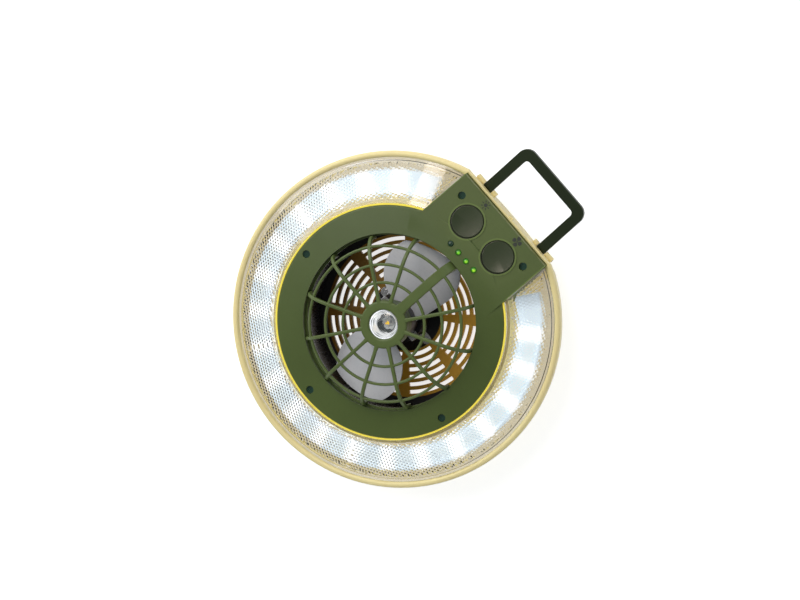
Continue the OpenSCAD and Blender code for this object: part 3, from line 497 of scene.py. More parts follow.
def smooth_by_area(made, angle=math.radians(30)):
    """Smooth shading that keeps flat faces flat."""
    made.data.shade_smooth()
    made.data.set_sharp_from_angle(angle=angle)
    weight = made.modifiers.new("shading", "WEIGHTED_NORMAL")
    weight.keep_sharp = True
    return apply_modifiers(made)


def round_edges(made, width, segments=2, angle=50, miter="MITER_SHARP"):
    """Rounds the edges that turn by more than an angle, in degrees."""
    bevel = made.modifiers.new("edges", "BEVEL")
    bevel.width, bevel.segments, bevel.miter_outer = width, segments, miter
    bevel.limit_method, bevel.angle_limit = "ANGLE", math.radians(angle)
    return smooth_by_area(apply_modifiers(made))


def rounded_copy(node, edge, segments=2, angle=32):
    """A copy of a solid, its loose triangles merged and its sharp edges rounded."""
    bm = bmesh.new()
    bm.from_mesh(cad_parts[node].data)
    bmesh.ops.remove_doubles(bm, verts=bm.verts, dist=2e-6)
    bmesh.ops.dissolve_limit(bm, angle_limit=math.radians(0.6), verts=bm.verts, edges=bm.edges)
    return round_edges(mesh_object(node + "_look", bm), edge, segments, angle, "MITER_ARC")


def blend_normals(made):
    """Shades the step from the cover's cone to the sloping panel as one soft curve."""
    mesh = made.data
    normals = [n.vector.copy() for n in mesh.corner_normals]
    panel = Vector((0, math.sin(PANEL_TILT), math.cos(PANEL_TILT)))
    for face in mesh.polygons:
        for k in face.loop_indices:
            place = mesh.vertices[mesh.loops[k].vertex_index].co
            radius = math.hypot(place.x, place.y)
            if face.normal.z < 0.94 or place.z < 0.040 or not 0.062 < place.y < 0.082 or radius < 0.0636:
                continue
            cone = Vector((place.x / radius * COVER_SLOPE, place.y / radius * COVER_SLOPE, 1)).normalized()
            u = min(1.0, max(0.0, (place.y - 0.064) / 0.016))
            normals[k] = cone.lerp(panel, u * u * (3 - 2 * u)).normalized()
    mesh.normals_split_custom_set(normals)
    return made


def lathe(name, profile, segments):
    """Turns a profile of (radius, height) points, in millimetres, about the fan axis."""
    bm = bmesh.new()
    loops = [[bm.verts.new((r * MM * math.cos(a), r * MM * math.sin(a), z * MM))
              for a in (i * FULL_TURN / segments for i in range(segments if r else 1))] for r, z in profile]
    for a, b in zip(loops, loops[1:]):
        for i in range(segments):
            j = i + 1
            face = list(dict.fromkeys([a[i % len(a)], a[j % len(a)], b[j % len(b)], b[i % len(b)]]))
            if len(face) > 2:
                bm.faces.new(face)
    bmesh.ops.recalc_face_normals(bm, faces=bm.faces)
    return mesh_object(name, bm)


def dress(made, look, body, slot, *nodes):
    """Gives a finished piece its material and its body and hides the solids that it stands for; slot is not
    used.
    """
    if look is not None:
        made.data.materials.clear()
        made.data.materials.append(look)
    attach(made, body)
    if nodes:
        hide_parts(*nodes)
    return made


def redress(node, edge, look, body, slot, segments=2, angle=32):
    """Puts a rounded copy with a finish in a solid's place."""
    dress(rounded_copy(node, edge, segments, angle), look, body, slot, node)


def paint(look, *nodes):
    """Gives solids that stay as they are a better material."""
    for node in nodes:
        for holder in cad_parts[node].material_slots:
            holder.material = look


def on_panel(x, y, z=0.0):
    """A point on the sloping panel: x from its middle, y from the fan axis, z above its face."""
    run = (y - PANEL_Y) / math.cos(PANEL_TILT)
    turned = Matrix.Rotation(-PANEL_TILT, 3, "X") @ Vector((x, run, z))
    return (turned + Vector((0, PANEL_Y, PANEL_TOP))) * MM


# ---- geometry node trees ----

class Rule(Graph):
    """A Geometry Nodes tree with named inputs, run once on an object's mesh."""

    def __init__(self, name):
        super().__init__(bpy.data.node_groups.new(name, "GeometryNodeTree"))
        self.name, self.values = name, {}
        for way in ("INPUT", "OUTPUT"):
            self.tree.interface.new_socket("Geometry", in_out=way, socket_type="NodeSocketGeometry")
        self.entry = self.tree.nodes.new("NodeGroupInput")

    def inputs(self, values):
        """Adds named inputs, each of its value's kind, and gives back their sockets."""
        for name, value in values.items():
            kind = {int: "Int", float: "Float"}.get(type(value), "Material")
            item = self.tree.interface.new_socket(name, in_out="INPUT", socket_type="NodeSocket" + kind)
            self.values[item.identifier] = value
        return [Value(self, self.entry.outputs[name]) for name in values]

    def moved(self, part, place):
        return self.add("GeometryNodeTransform", {}, {"Geometry": part, "Translation": place})

    def placed(self, part, place):
        """Moves each point of a part to its own place."""
        return self.add("GeometryNodeSetPosition", {}, {"Geometry": part, "Position": place})

    def sweep(self, path, profile):
        return self.add("GeometryNodeCurveToMesh", {}, {"Curve": path, "Profile Curve": profile,
                                                        "Fill Caps": True})

    def circle(self, radius, points=144):
        return self.add("GeometryNodeCurvePrimitiveCircle", {"mode": "RADIUS"}, {"Resolution": points,
                                                                                 "Radius": radius})

    def cylinder(self, sides, radius, depth):
        return self.add("GeometryNodeMeshCylinder", {}, {"Vertices": sides, "Radius": radius, "Depth": depth})

    def outline(self, corners, edge):
        """A closed profile through corners (pairs of numbers or values), with rounded corners."""
        pick = self.tree.nodes.new("GeometryNodeIndexSwitch")
        pick.data_type = "VECTOR"
        while len(pick.index_switch_items) < len(corners):
            pick.index_switch_items.new()
        self.tree.links.new(self.add("GeometryNodeInputIndex").socket, pick.inputs[0])
        for i, (u, v) in enumerate(corners):
            self.tree.links.new(self.vector(u, -1.0 * v, 0.0).socket, pick.inputs[1 + i])
        shape = self.placed(self.circle(1.0, len(corners)), Value(self, pick.outputs[0]))
        return self.add("GeometryNodeFilletCurve", {"mode": "POLY"}, {
            "Curve": shape, "Count": 3, "Limit Radius": True, "Radius": edge})

    def join(self, parts):
        return self.add("GeometryNodeJoinGeometry", {}, {0: parts})

    def coated(self, parts, look):
        return self.add("GeometryNodeSetMaterial", {}, {"Geometry": parts, "Material": look})

    def spread(self, part, count, first, step):
        """Copies of a part, each turned about the fan axis by first + index * step."""
        spots = self.add("GeometryNodePoints", {}, {"Count": count})
        index = self.add("GeometryNodeInputIndex")
        turn = self.add("FunctionNodeEulerToRotation", {}, {0: self.vector(0.0, 0.0, index * step + first)})
        return self.add("GeometryNodeInstanceOnPoints", {}, {"Points": spots, "Instance": part,
                                                             "Rotation": turn})

    def run(self, geometry, look=None, points=()):
        """Ends the tree, runs it on a mesh of points and gives back an object with the plain result."""
        whole = self.add("GeometryNodeRealizeInstances", {}, {"Geometry": geometry})
        if look is not None:
            whole = self.coated(whole, look)
        end = self.tree.nodes.new("NodeGroupOutput")
        self.tree.links.new(whole.socket, end.inputs[0])
        mesh = bpy.data.meshes.new(self.name)
        mesh.from_pydata([tuple(p) for p in points], [], [])
        made = new_object(self.name, mesh)
        rule = made.modifiers.new("rule", "NODES")
        rule.node_group = self.tree
        for identifier, value in self.values.items():
            rule[identifier] = value
        return apply_modifiers(made)


def grille_object(sizes, look):
    """The domed grille: swept spokes and rings, a turned hub and the foot that sits on the duct."""
    rule = Rule("front_grille_look")
    count, width, depth, wide, ring_width, edge, hub, bend, reach, material = rule.inputs({
        "Spoke Count": sizes.spoke_count, "Spoke Width": sizes.spoke_width, "Spoke Depth": sizes.spoke_depth,
        "Wide Spoke Width": sizes.wide_spoke, "Ring Width": sizes.ring_width, "Edge Radius": sizes.cage_edge,
        "Hub Radius": HUB_R * MM, "Bend Start Radius": BEND_START * MM, "Bend Height": BEND_R * MM,
        "Material": look})

    def path(under):
        """The line of a spoke, under its outline: out from the hub, round the bend and down."""
        start, radius = hub - 0.0015, reach - under
        straight, arc = bend - start, radius * QUARTER
        line = rule.add("GeometryNodeCurvePrimitiveLine", {"mode": "POINTS"}, {
            "Start": (0.0, 0.0, 0.0), "End": rule.vector(straight + arc + (BEND_Z - DUCT_TOP) * MM)})
        line = rule.add("GeometryNodeResampleCurve", {}, {"Curve": line, "Count": 56})
        s = rule.add("GeometryNodeSplineParameter", out="Length")
        turn = ((s - straight) / radius).clamp(QUARTER)
        along = start + s.apply("MINIMUM", straight) + radius * turn.apply("SINE")
        drop = (s - straight - arc).apply("MAXIMUM", 0.0)
        return rule.placed(line, rule.vector(along, 0.0, BEND_Z * MM + radius * turn.apply("COSINE") - drop))

    def flared(part, grow, span=0.004):
        """Widens a spoke where it leaves the hub."""
        x, y, z = rule.split(rule.add("GeometryNodeInputPosition"))
        near = (1.0 - (x - hub) / span).clamp()
        return rule.placed(part, rule.vector(x, y * (near * near * grow + 1.0), z))

    def box(w, h):
        return rule.outline([(w / -2.0, h / -2.0), (w / 2.0, h / -2.0), (w / 2.0, h / 2.0),
                             (w / -2.0, h / 2.0)], edge)

    def turned(r0, z0, r1, z1, round_by):
        """A ring with a rectangular section, in millimetres of radius and height."""
        r, z = (r1 - r0) * MM, (z1 - z0) * MM
        section = rule.outline([(0.0, 0.0), (r, 0.0), (r, z), (0.0, z)], round_by * MM)
        return rule.moved(rule.sweep(rule.circle(r0 * MM), section), (0.0, 0.0, z0 * MM))

    spoke = flared(rule.sweep(path(depth / 2.0), box(width, depth)), 0.35)
    step = FULL_TURN / sizes.spoke_count
    # the wide spoke is a channel, open below, for the spot light's leads
    half, wall, deep, roof = wide / 2.0, 0.0013, 0.0046, 0.0015
    channel = rule.outline([
        (-1.0 * half, -deep / 2), (wall - half, -deep / 2), (wall - half, deep / 2 - roof),
        (half - wall, deep / 2 - roof), (half - wall, -deep / 2), (half, -deep / 2), (half, deep / 2),
        (-1.0 * half, deep / 2)], edge * 0.8)
    parts = [rule.spread(spoke, count - 1, QUARTER + step, step),
             rule.spread(flared(rule.sweep(path(deep / 2), channel), 0.2), 1, QUARTER, 0.0)]
    for r in (29.7, 42.4, 55.1):
        crown = BEND_Z + math.sqrt(BEND_R ** 2 - max(0.0, r - BEND_START) ** 2)
        parts.append(rule.moved(rule.sweep(rule.circle(r * MM), box(ring_width, depth - 0.0003)),
                                (0.0, 0.0, (crown - 1.65) * MM)))
    parts.append(turned(HUB_HOLE_R, HUB_LOW, HUB_R, HUB_TOP, 1.3))
    parts.append(turned(61.4, DUCT_TOP, DUCT_OUT, DUCT_TOP + 2.2, 0.3))
    made = rule.run(rule.join(parts), material)
    bm = bmesh.new()
    bm.from_mesh(made.data)
    bmesh.ops.remove_doubles(bm, verts=bm.verts, dist=1e-7)
    bmesh.ops.recalc_face_normals(bm, faces=bm.faces)
    bm.to_mesh(made.data)
    bm.free()
    return smooth_by_area(made, math.radians(40))


def screw_object(look):
    """Five recessed cross-head screws, placed by the points of the mesh that the tree runs on."""
    rule = Rule("cover_screws_look")
    head_r, head_h, material = rule.inputs({"Head Radius": 2.6 * MM, "Head Height": 2.0 * MM,
                                            "Material": look})

    def raised(part, z):
        return rule.moved(part, rule.vector(0.0, 0.0, z))

    def cut(part, tools):
        return rule.add("GeometryNodeMeshBoolean", {"operation": "DIFFERENCE", "solver": "EXACT"}, {
            "Mesh 1": part, "Mesh 2": tools})

    rim = raised(rule.cylinder(40, head_r * 0.72, 0.0006), head_h / 2.0 - 0.0001)
    bars = [raised(rule.add("GeometryNodeMeshCube", {}, {"Size": size}), head_h / 2.0)
            for size in ((0.0032, 0.0007, 0.0012), (0.0007, 0.0032, 0.0012))]
    head = cut(cut(rule.cylinder(40, head_r, head_h), rim), bars)
    shank = raised(rule.cylinder(24, 0.0015, 0.012), head_h / -2.0 - 0.006)
    placed = rule.add("GeometryNodeInstanceOnPoints", {}, {
        "Points": rule.add("GeometryNodeMeshToPoints", {}, {"Mesh": Value(rule, rule.entry.outputs[0])}),
        "Instance": raised(rule.join([head, shank]), head_h / 2.0)})
    points, r, screw_x, screw_y = [], 76.8, 33, 98
    seat = COVER_Z - (r - OPENING_R) * COVER_SLOPE - 3
    for turn in (math.radians(a) for a in (-12.6, 190.5, 268.3)):
        points.append((r * math.cos(turn) * MM, r * math.sin(turn) * MM, seat * MM))
    seat = PANEL_TOP - (screw_y - PANEL_Y) * math.tan(PANEL_TILT) - 3.2
    points += [(x * MM, screw_y * MM, seat * MM) for x in (-screw_x, screw_x)]
    return smooth_by_area(rule.run(placed, material, points))


def led_object(body_look, face_look):
    """The LEDs: white packages with a yellow-white window, turned round the axis by a rule."""
    rule = Rule("ring_leds_look")
    count, arc, side, radius, package, window = rule.inputs({
        "LED Count": LED_COUNT, "LED Arc": LED_ARC, "LED Side": 5 * MM, "LED Circle Radius": LED_R * MM,
        "Package Material": body_look, "Window Material": face_look})
    body = rule.add("GeometryNodeMeshCube", {}, {"Size": rule.vector(side, side, 1.4 * MM)})
    face = rule.cylinder(20, side * 0.38, 0.5 * MM)
    parts = [rule.coated(rule.moved(part, rule.vector(radius, 0.0, (LED_Z + up) * MM)), look)
             for part, up, look in ((body, 0.7, package), (face, 1.35, window))]
    return rule.run(rule.spread(rule.join(parts), count, -QUARTER - arc / 2.0, arc / (count - 1)))


# ---- the fan ----

def impeller_object():
    """A small deep hub with two round, cambered paddles, each cut off at the tip."""
    made = lathe("impeller_look", [
        (0, 47.5), (11.5, 47.5), (13.6, 46.7), (ROTOR_HUB_R, 44.5), (ROTOR_HUB_R, 29), (12.7, 29),
        (12.7, 44.9), (4, 44.9), (4, 30), (1.05, 30), (1.05, 42.8), (0, 42.8)], 96)
    middle, paddle, reach, root = 38.5, 26.0, 58.2, (4.0, -11.7)
    away = math.atan2(root[1], root[0] - middle)
    tangent = math.acos(paddle / math.hypot(root[0] - middle, root[1]))
    outline = [root]
    for i in range(91):
        a = away + tangent + (FULL_TURN - 2 * tangent) * i / 90
        x, y = middle + paddle * math.cos(a), paddle * math.sin(a)
        over = max(1.0, math.hypot(x, y) / reach)
        outline.append((x / over, y / over))
    low, high = min(y for _, y in outline), max(y for _, y in outline)
    pitch, camber, half, rows, columns = math.radians(17), 90.0, 0.9, 40, 24
    bm = bmesh.new()
    bm.from_mesh(made.data)
    for start in (108, 288):
        cos, sin = math.cos(math.radians(start)), math.sin(math.radians(start))
        top, bottom = [], []
        for i in range(rows + 1):
            y = (low + high) / 2 - (high - low) / 2 * math.cos(math.pi * i / rows) * 0.9995
            spans = [x0 + (x1 - x0) * (y - y0) / (y1 - y0) for (x0, y0), (x1, y1)
                     in zip(outline, outline[1:] + outline[:1]) if (y0 - y) * (y1 - y) <= 0 and y0 != y1]
            width = max(spans) - min(spans)
            height = ROTOR_Z + y * math.tan(pitch) - y * y / (2 * camber * math.cos(pitch) ** 3)
            for sheet, side in ((top, half), (bottom, -half)):
                line = [min(spans) + width * k / columns for k in range(columns + 1)]
                sheet.append([bm.verts.new(Vector((x * cos - y * sin, x * sin + y * cos, height + side)) * MM)
                              for x in line])
        for i in range(rows):
            for k in range(columns):
                bm.faces.new([top[i][k], top[i][k + 1], top[i + 1][k + 1], top[i + 1][k]])
                bm.faces.new([bottom[i + 1][k], bottom[i + 1][k + 1], bottom[i][k + 1], bottom[i][k]])
        edges = ([(0, k) for k in range(columns + 1)] + [(i, columns) for i in range(1, rows + 1)]
                 + [(rows, k) for k in range(columns - 1, -1, -1)] + [(i, 0) for i in range(rows - 1, 0, -1)])
        for (i, k), (j, m) in zip(edges, edges[1:] + edges[:1]):
            bm.faces.new([top[i][k], bottom[i][k], bottom[j][m], top[j][m]])
    bmesh.ops.recalc_face_normals(bm, faces=bm.faces)
    bm.to_mesh(made.data)
    bm.free()
    return round_edges(made, 0.35 * MM)


def rear_grille_object():
    """The rear grille: a disc on a flange, with six rows of arc slots between eight bars."""
    slot, rows, bar, sector = 2.7, [27.1 + 5.35 * k for k in range(6)], math.radians(9.5), math.pi / 4
    radii = [0.0, 9.0, 18.0] + [r for row in rows for r in (row, row + slot)] + [61.5, 66.4]
    angles = []
    for middle in (QUARTER + k * sector for k in range(8)):
        angles += [(middle - bar / 2 + bar * i / 6, True) for i in range(6)]
        angles += [(middle + bar / 2 + (sector - bar) * i / 30, False) for i in range(30)]
    count, bands = len(angles), len(radii) - 1
    bm = bmesh.new()
    corners = {}

    def solid(band, step):
        return band < bands and (angles[step % count][1] or radii[band] not in rows)

    def corner(ring, step, level):
        key = (ring, step % count if ring else 0, level)
        if key not in corners:
            a = angles[key[1]][0]
            corners[key] = bm.verts.new((radii[ring] * math.cos(a) * MM, radii[ring] * math.sin(a) * MM,
                                         level * 3.0 * MM))
        return corners[key]

    def face(*keys):
        bm.faces.new(list(dict.fromkeys(corner(*key) for key in keys)))

    def wall(b, s, c, t):
        face((b, s, 1), (b, s, 0), (c, t, 0), (c, t, 1))

    for b in range(bands):
        for s in range(count):
            if not solid(b, s):
                continue
            face((b, s, 1), (b + 1, s, 1), (b + 1, s + 1, 1), (b, s + 1, 1))
            face((b, s + 1, 0), (b + 1, s + 1, 0), (b + 1, s, 0), (b, s, 0))
            if not solid(b + 1, s):
                wall(b + 1, s, b + 1, s + 1)
            if b and not solid(b - 1, s):
                wall(b, s + 1, b, s)
            if not solid(b, s - 1):
                wall(b, s, b + 1, s)
            if not solid(b, s + 1):
                wall(b + 1, s + 1, b, s + 1)
    bmesh.ops.recalc_face_normals(bm, faces=bm.faces)
    return round_edges(mesh_object("rear_grille_look", bm), 0.35 * MM)


# ---- the prism lens ----

def lens_top(r):
    return LENS_EDGE_Z + (LENS_OUT - r) * LENS_RISE / (LENS_OUT - LENS_IN)


def lens_arc(r, steps, inset=0.0):
    """Points on a circle of the lens, anticlockwise from one side of the panel to the other."""
    gap = math.asin(LENS_CUT_X / r) + inset
    return [(r * math.cos(a), r * math.sin(a))
            for a in (QUARTER + gap + (FULL_TURN - 2 * gap) * i / steps for i in range(steps + 1))]


def prism_points(spacing, inner, outer):
    """Six sectors of a triangular net under the lens: each point and whether it lies in a valley.

    Every third point is the tip of a prism, and the others lie in the valleys between.
    """
    for sector in range(6):
        turn = QUARTER + math.radians(60 * (sector + 1))
        along = (math.cos(turn), math.sin(turn))
        for i in range(-60, 60):
            for j in range(0, 110):
                u, v = 60 + j * spacing * math.sqrt(3) / 2, (i + (j % 2) * 0.5) * spacing
                x, y = u * along[0] - v * along[1], u * along[1] + v * along[0]
                r = math.hypot(x, y)
                off = (math.atan2(y, x) - turn + math.pi) % FULL_TURN - math.pi
                if not inner < r < outer or (math.radians(30) - abs(off)) * r < 0.45:
                    continue
                if y <= 0 or abs(x) >= LENS_CUT_X + 1.8:
                    yield (x, y), (i - j // 2 - j) % 3 != 0


def lens_object(sizes):
    """A clear C-shaped ring: smooth and conical on top, six-sided prisms in straight rows underneath."""
    outline = lens_arc(LENS_OUT, 220) + lens_arc(LENS_IN, 160)[::-1]
    count, depth = len(outline), sizes.prism_depth / MM
    inner, outer = LENS_IN + 3.0, LENS_OUT - 4.0
    net = list(prism_points(sizes.prism_pitch / MM / math.sqrt(3), inner, outer))
    inside = [p for p, _ in net]
    valleys = {count + k for k, (_, valley) in enumerate(net) if valley}
    for r in (inner - 0.5, outer + 0.5, LENS_OUT - 2.3, LENS_OUT - 2.0):
        inside += lens_arc(r, 300, 0.8 / r)
    for x in (-LENS_CUT_X - 0.9, LENS_CUT_X + 0.9):
        inside += [(x, y) for y in (74.5 + i * 1.4 for i in range(24)) if inner < math.hypot(x, y) < outer]
    bm = bmesh.new()

    def sheet(extra, height, flip):
        """A triangulated face of the lens; gives back its border vertices by their place in the outline."""
        points = [Vector(p) for p in outline + extra]
        loop = [(i, (i + 1) % count) for i in range(count)]
        verts, _, faces, origin, _, _ = delaunay_2d_cdt(points, loop, [], 1, 1e-4)
        made = [bm.verts.new((v[0] * MM, v[1] * MM, height(math.hypot(*v), o) * MM))
                for v, o in zip(verts, origin)]
        for f in faces:
            corners = [made[k] for k in f]
            bm.faces.new(corners[::-1] if flip else corners)
        return {k: v for v, o in zip(made, origin) for k in o if k < count}

    def under(r, origin):
        if r > LENS_OUT - 2.15:
            return 34.0
        return lens_top(r) - LENS_WALL + (depth if origin and origin[0] in valleys else 0.0)

    smooth = [p for r in (92.0, 100.0, 108.0) for p in lens_arc(r, 200, 0.01)]
    top = sheet(smooth, lambda r, o: lens_top(r), False)
    low = sheet(inside, under, True)
    for k in range(count):
        n = (k + 1) % count
        bm.faces.new([top[n], top[k], low[k], low[n]])
    for angle in (39, 76, 113, 150, 168):
        for a in (QUARTER - math.radians(angle), QUARTER + math.radians(angle)):
            for r in (LENS_IN + 3.7, LENS_OUT - 4.2):
                pin = bmesh.ops.create_cone(bm, cap_ends=True, segments=16, depth=2.1 * MM,
                                            radius1=1.2 * MM, radius2=1.3 * MM)
                bmesh.ops.translate(bm, verts=pin["verts"], vec=(
                    r * math.cos(a) * MM, r * math.sin(a) * MM, (lens_top(r) - 3.07) * MM))
    made = mesh_object("lens_ring_look", bm)
    made.data.shade_smooth()
    made.data.set_sharp_from_angle(angle=math.radians(12))
    return made


# ---- printed signs ----

def plate(bm, points, transform, thick=0.08):
    """A thin flat plate with the given outline, in millimetres, on the panel."""
    low, high = [[bm.verts.new(transform(u, v, w)) for u, v in points] for w in (0.0, thick)]
    bm.faces.new(low[::-1])
    bm.faces.new(high)
    for i in range(len(points)):
        j = (i + 1) % len(points)
        bm.faces.new([low[i], low[j], high[j], high[i]])


def disc(r, steps):
    return [(r * math.cos(i * FULL_TURN / steps), r * math.sin(i * FULL_TURN / steps)) for i in range(steps)]


def icon_object(size):
    """A sun beside the light button and a four-bladed fan beside the fan button."""
    r = size / MM
    bm = bmesh.new()

    def at(x):
        return lambda u, v, w: on_panel(x + u, 106.0 + v, w + 0.01)

    def petals(shape, count, first, transform):
        for a in (first + i * FULL_TURN / count for i in range(count)):
            c, s = math.cos(a), math.sin(a)
            plate(bm, [(r * (u * c - v * s), r * (u * s + v * c)) for u, v in shape], transform)

    sun, fan, half = at(-BUTTON_X - 0.2), at(BUTTON_X + 0.7), 0.36 / r
    plate(bm, disc(r * 0.4, 28), sun)
    petals([(0.58, -half), (1.0, -half * 0.7), (1.0, half * 0.7), (0.58, half)], 8, 0.0, sun)
    plate(bm, disc(r * 0.16, 16), fan)
    petals([(0.2, -0.1), (0.48, -0.52), (0.88, -0.52), (1.08, -0.12), (0.98, 0.26), (0.62, 0.32),
            (0.28, 0.14)], 4, 0.4, fan)
    bmesh.ops.recalc_face_normals(bm, faces=bm.faces)
    return mesh_object("panel_signs", bm)


# ---- operators ----

class Builder:
    """What the operators share."""
    bl_options = {"REGISTER"}

    def execute(self, context):
        scene = context.scene
        self.build(scene.fan_sizes, scene.fan_colours, scene.fan_stage)
        return {"FINISHED"}


class FAN_OT_shell(Builder, bpy.types.Operator):
    """Build the tan shell, the rear grille and the duct"""
    bl_idname = "fan.shell"
    bl_label = "Shell"

    def build(self, sizes, tones, stage):
        redress("rear_housing", sizes.fine_edge, shell_plastic(tones.shell), "body", "tan_plastic")
        dress(rear_grille_object(), amber_plastic(tones.rear), "body", "tan_plastic", "rear_grille")
        redress("fan_duct", sizes.fine_edge, duct_plastic(tones.duct), "body", "charcoal_plastic")


class FAN_OT_cover(Builder, bpy.types.Operator):
    """Build the green front cover, its buttons, printed signs and battery lights"""
    bl_idname = "fan.cover"
    bl_label = "Front cover"

    def build(self, sizes, tones, stage):
        dark = moulded("button_plastic_look", tones.button, 0.30, 0.10, 0.15, 0.75, 0.4)
        cover = blend_normals(rounded_copy("front_cover", sizes.cover_edge))
        dress(cover, cover_plastic(tones.cover), "body", "green_plastic", "front_cover")
        for node, body in (("light_button", "light_switch"), ("fan_button", "fan_switch")):
            redress(node, sizes.fine_edge, dark, body, "dark_green_plastic", angle=20)
        dress(icon_object(sizes.icon_size), printed_ink(), "body", "charcoal_plastic")
        paint(battery_lights(tones.charge), "indicator_lights")


class FAN_OT_grille(Builder, bpy.types.Operator):
    """Build the domed front grille and the cap that closes its hub"""
    bl_idname = "fan.grille"
    bl_label = "Front grille"

    def build(self, sizes, tones, stage):
        cage = moulded("cage_plastic_look", tones.cage, 0.36, 0.08, 0.2, 0.0, 0.4)
        dress(grille_object(sizes, cage), None, "body", "cage_plastic", "front_grille")
        redress("spot_cap", sizes.fine_edge, cage, "body", "cage_plastic")


class FAN_OT_ring_light(Builder, bpy.types.Operator):
    """Build the prism lens, the lit trough and the LEDs"""
    bl_idname = "fan.ring_light"
    bl_label = "Ring light"

    def build(self, sizes, tones, stage):
        dress(lens_object(sizes), clear_plastic("lens_plastic_look", (0.985, 0.99, 0.99), 0.02), "body",
              "clear_plastic", "lens_ring")
        paint(lit_trough("lit_tray", tones.light, (0.42, 0.44, 0.46)), "light_tray")
        paint(lit_trough("lit_board", tones.light, (0.55, 0.58, 0.56)), "led_board")
        package = glowing("led_package_look", (0.97, 0.99, 1.0), (0.8, 0.82, 0.8), 1.1)
        window = glowing("led_window_look", (0.95, 0.98, 1.0), (0.8, 0.75, 0.4), 1.4)
        dress(led_object(package, window), None, "body", "led_face", "ring_leds")


class FAN_OT_spot(Builder, bpy.types.Operator):
    """Build the spot light: a rippled lens, a faceted reflector and a yellow LED"""
    bl_idname = "fan.spot"
    bl_label = "Spot light"

    def build(self, sizes, tones, stage):
        seat, face, rise, steps = SPOT_Z + 1.6, 9.4, 2.2, 26
        profile = [(0, SPOT_Z), (9.8, SPOT_Z), (10.2, SPOT_Z + 0.3), (10.2, SPOT_Z + 1.3), (9.9, seat)]
        for u in (i / steps for i in range(steps)):
            ripple = 0.05 * math.cos(u * 6 * math.pi)
            profile.append((face * (1 - u), seat + rise * (1 - (1 - u) ** 2) + ripple))
        lens = lathe("spot_lens_look", profile + [(0, seat + rise)], 72)
        dress(smooth_by_area(lens), clear_plastic("spot_plastic_look", (0.97, 0.98, 0.98), 0.01), "body",
              "clear_plastic", "spot_lens")
        paint(rippled_mirror(), "spot_reflector")
        paint(spot_light_face((1.0, 0.62, 0.05)), "spot_led")
        paint(circuit_board("spot_board_look", (0.6, 0.62, 0.62), (0.8, 0.8, 0.78)), "spot_board")


class FAN_OT_rotor(Builder, bpy.types.Operator):
    """Build the impeller and the motor"""
    bl_idname = "fan.rotor"
    bl_label = "Impeller and motor"

    def build(self, sizes, tones, stage):
        black = moulded("motor_cup_look", tones.duct, 0.3, 0.2, 0.3)
        bright = metal("bright_steel_look", (0.86, 0.86, 0.88), 0.24, (1.0, 12.0, 1.0))
        impeller = dress(impeller_object(), moulded("blade_plastic_look", tones.blade, 0.42, 0.05, 0.2),
                         "rotor", "grey_plastic", "impeller")
        impeller.data.materials.append(black)
        for face in impeller.data.polygons:
            places = (impeller.data.vertices[k].co for k in face.vertices)
            face.material_index = int(all(math.hypot(p.x, p.y) < (ROTOR_HUB_R + 0.2) * MM for p in places))
        redress("motor_housing", sizes.fine_edge * 1.5, black, "body", "charcoal_plastic")
        redress("motor_strap", sizes.fine_edge * 0.5, bright, "body", "steel")
        paint(bright, "motor_screws", "board_screws", "handle_pins")
        dull = metal("motor_steel_look", (0.42, 0.42, 0.44), 0.35, (1.0, 1.0, 14.0))
        paint(dull, "motor_can", "motor_shaft")
        paint(moulded("magnet_look", (0.05, 0.05, 0.055), 0.5, 0.2, 0.4), "motor_magnets")
        paint(moulded("end_cap_look", (0.75, 0.72, 0.62), 0.5, 0.06, 0.2), "motor_end_cap")
        paint(metal("bronze_look", (0.55, 0.36, 0.12), 0.35), "motor_bushings")
        paint(wound_copper(), "armature")


class FAN_OT_electronics(Builder, bpy.types.Operator):
    """Give the board, the switches, the battery, the leads and the charging socket their finishes"""
    bl_idname = "fan.electronics"
    bl_label = "Electronics"

    def build(self, sizes, tones, stage):
        paint(circuit_board("control_board_look", (0.02, 0.13, 0.05), (0.75, 0.6, 0.3)), "control_board")
        paint(moulded("switch_look", (0.03, 0.03, 0.032), 0.4, 0.2), "tact_switches")
        paint(cell_wrap(), "battery_cells")
        paint(wire_cover(), "spot_leads", "motor_leads")
        paint(moulded("socket_look", (0.02, 0.02, 0.022), 0.35, 0.2), "charge_socket")


class FAN_OT_screws(Builder, bpy.types.Operator):
    """Build the five screws of the front cover"""
    bl_idname = "fan.screws"
    bl_label = "Cover screws"

    def build(self, sizes, tones, stage):
        dark = moulded("screw_coat_look", (0.012, 0.052, 0.034), 0.3, 0.2, 0.2)
        dress(screw_object(dark), None, "body", "steel", "cover_screws")


class FAN_OT_bail(Builder, bpy.types.Operator):
    """Build the carrying bail"""
    bl_idname = "fan.bail"
    bl_label = "Bail"

    def build(self, sizes, tones, stage):
        look = moulded("bail_plastic_look", tones.bail, 0.42, 0.14, 0.35, 0.0, 0.3)
        redress("handle", sizes.bail_edge, look, "bail", "bail_plastic", segments=3)


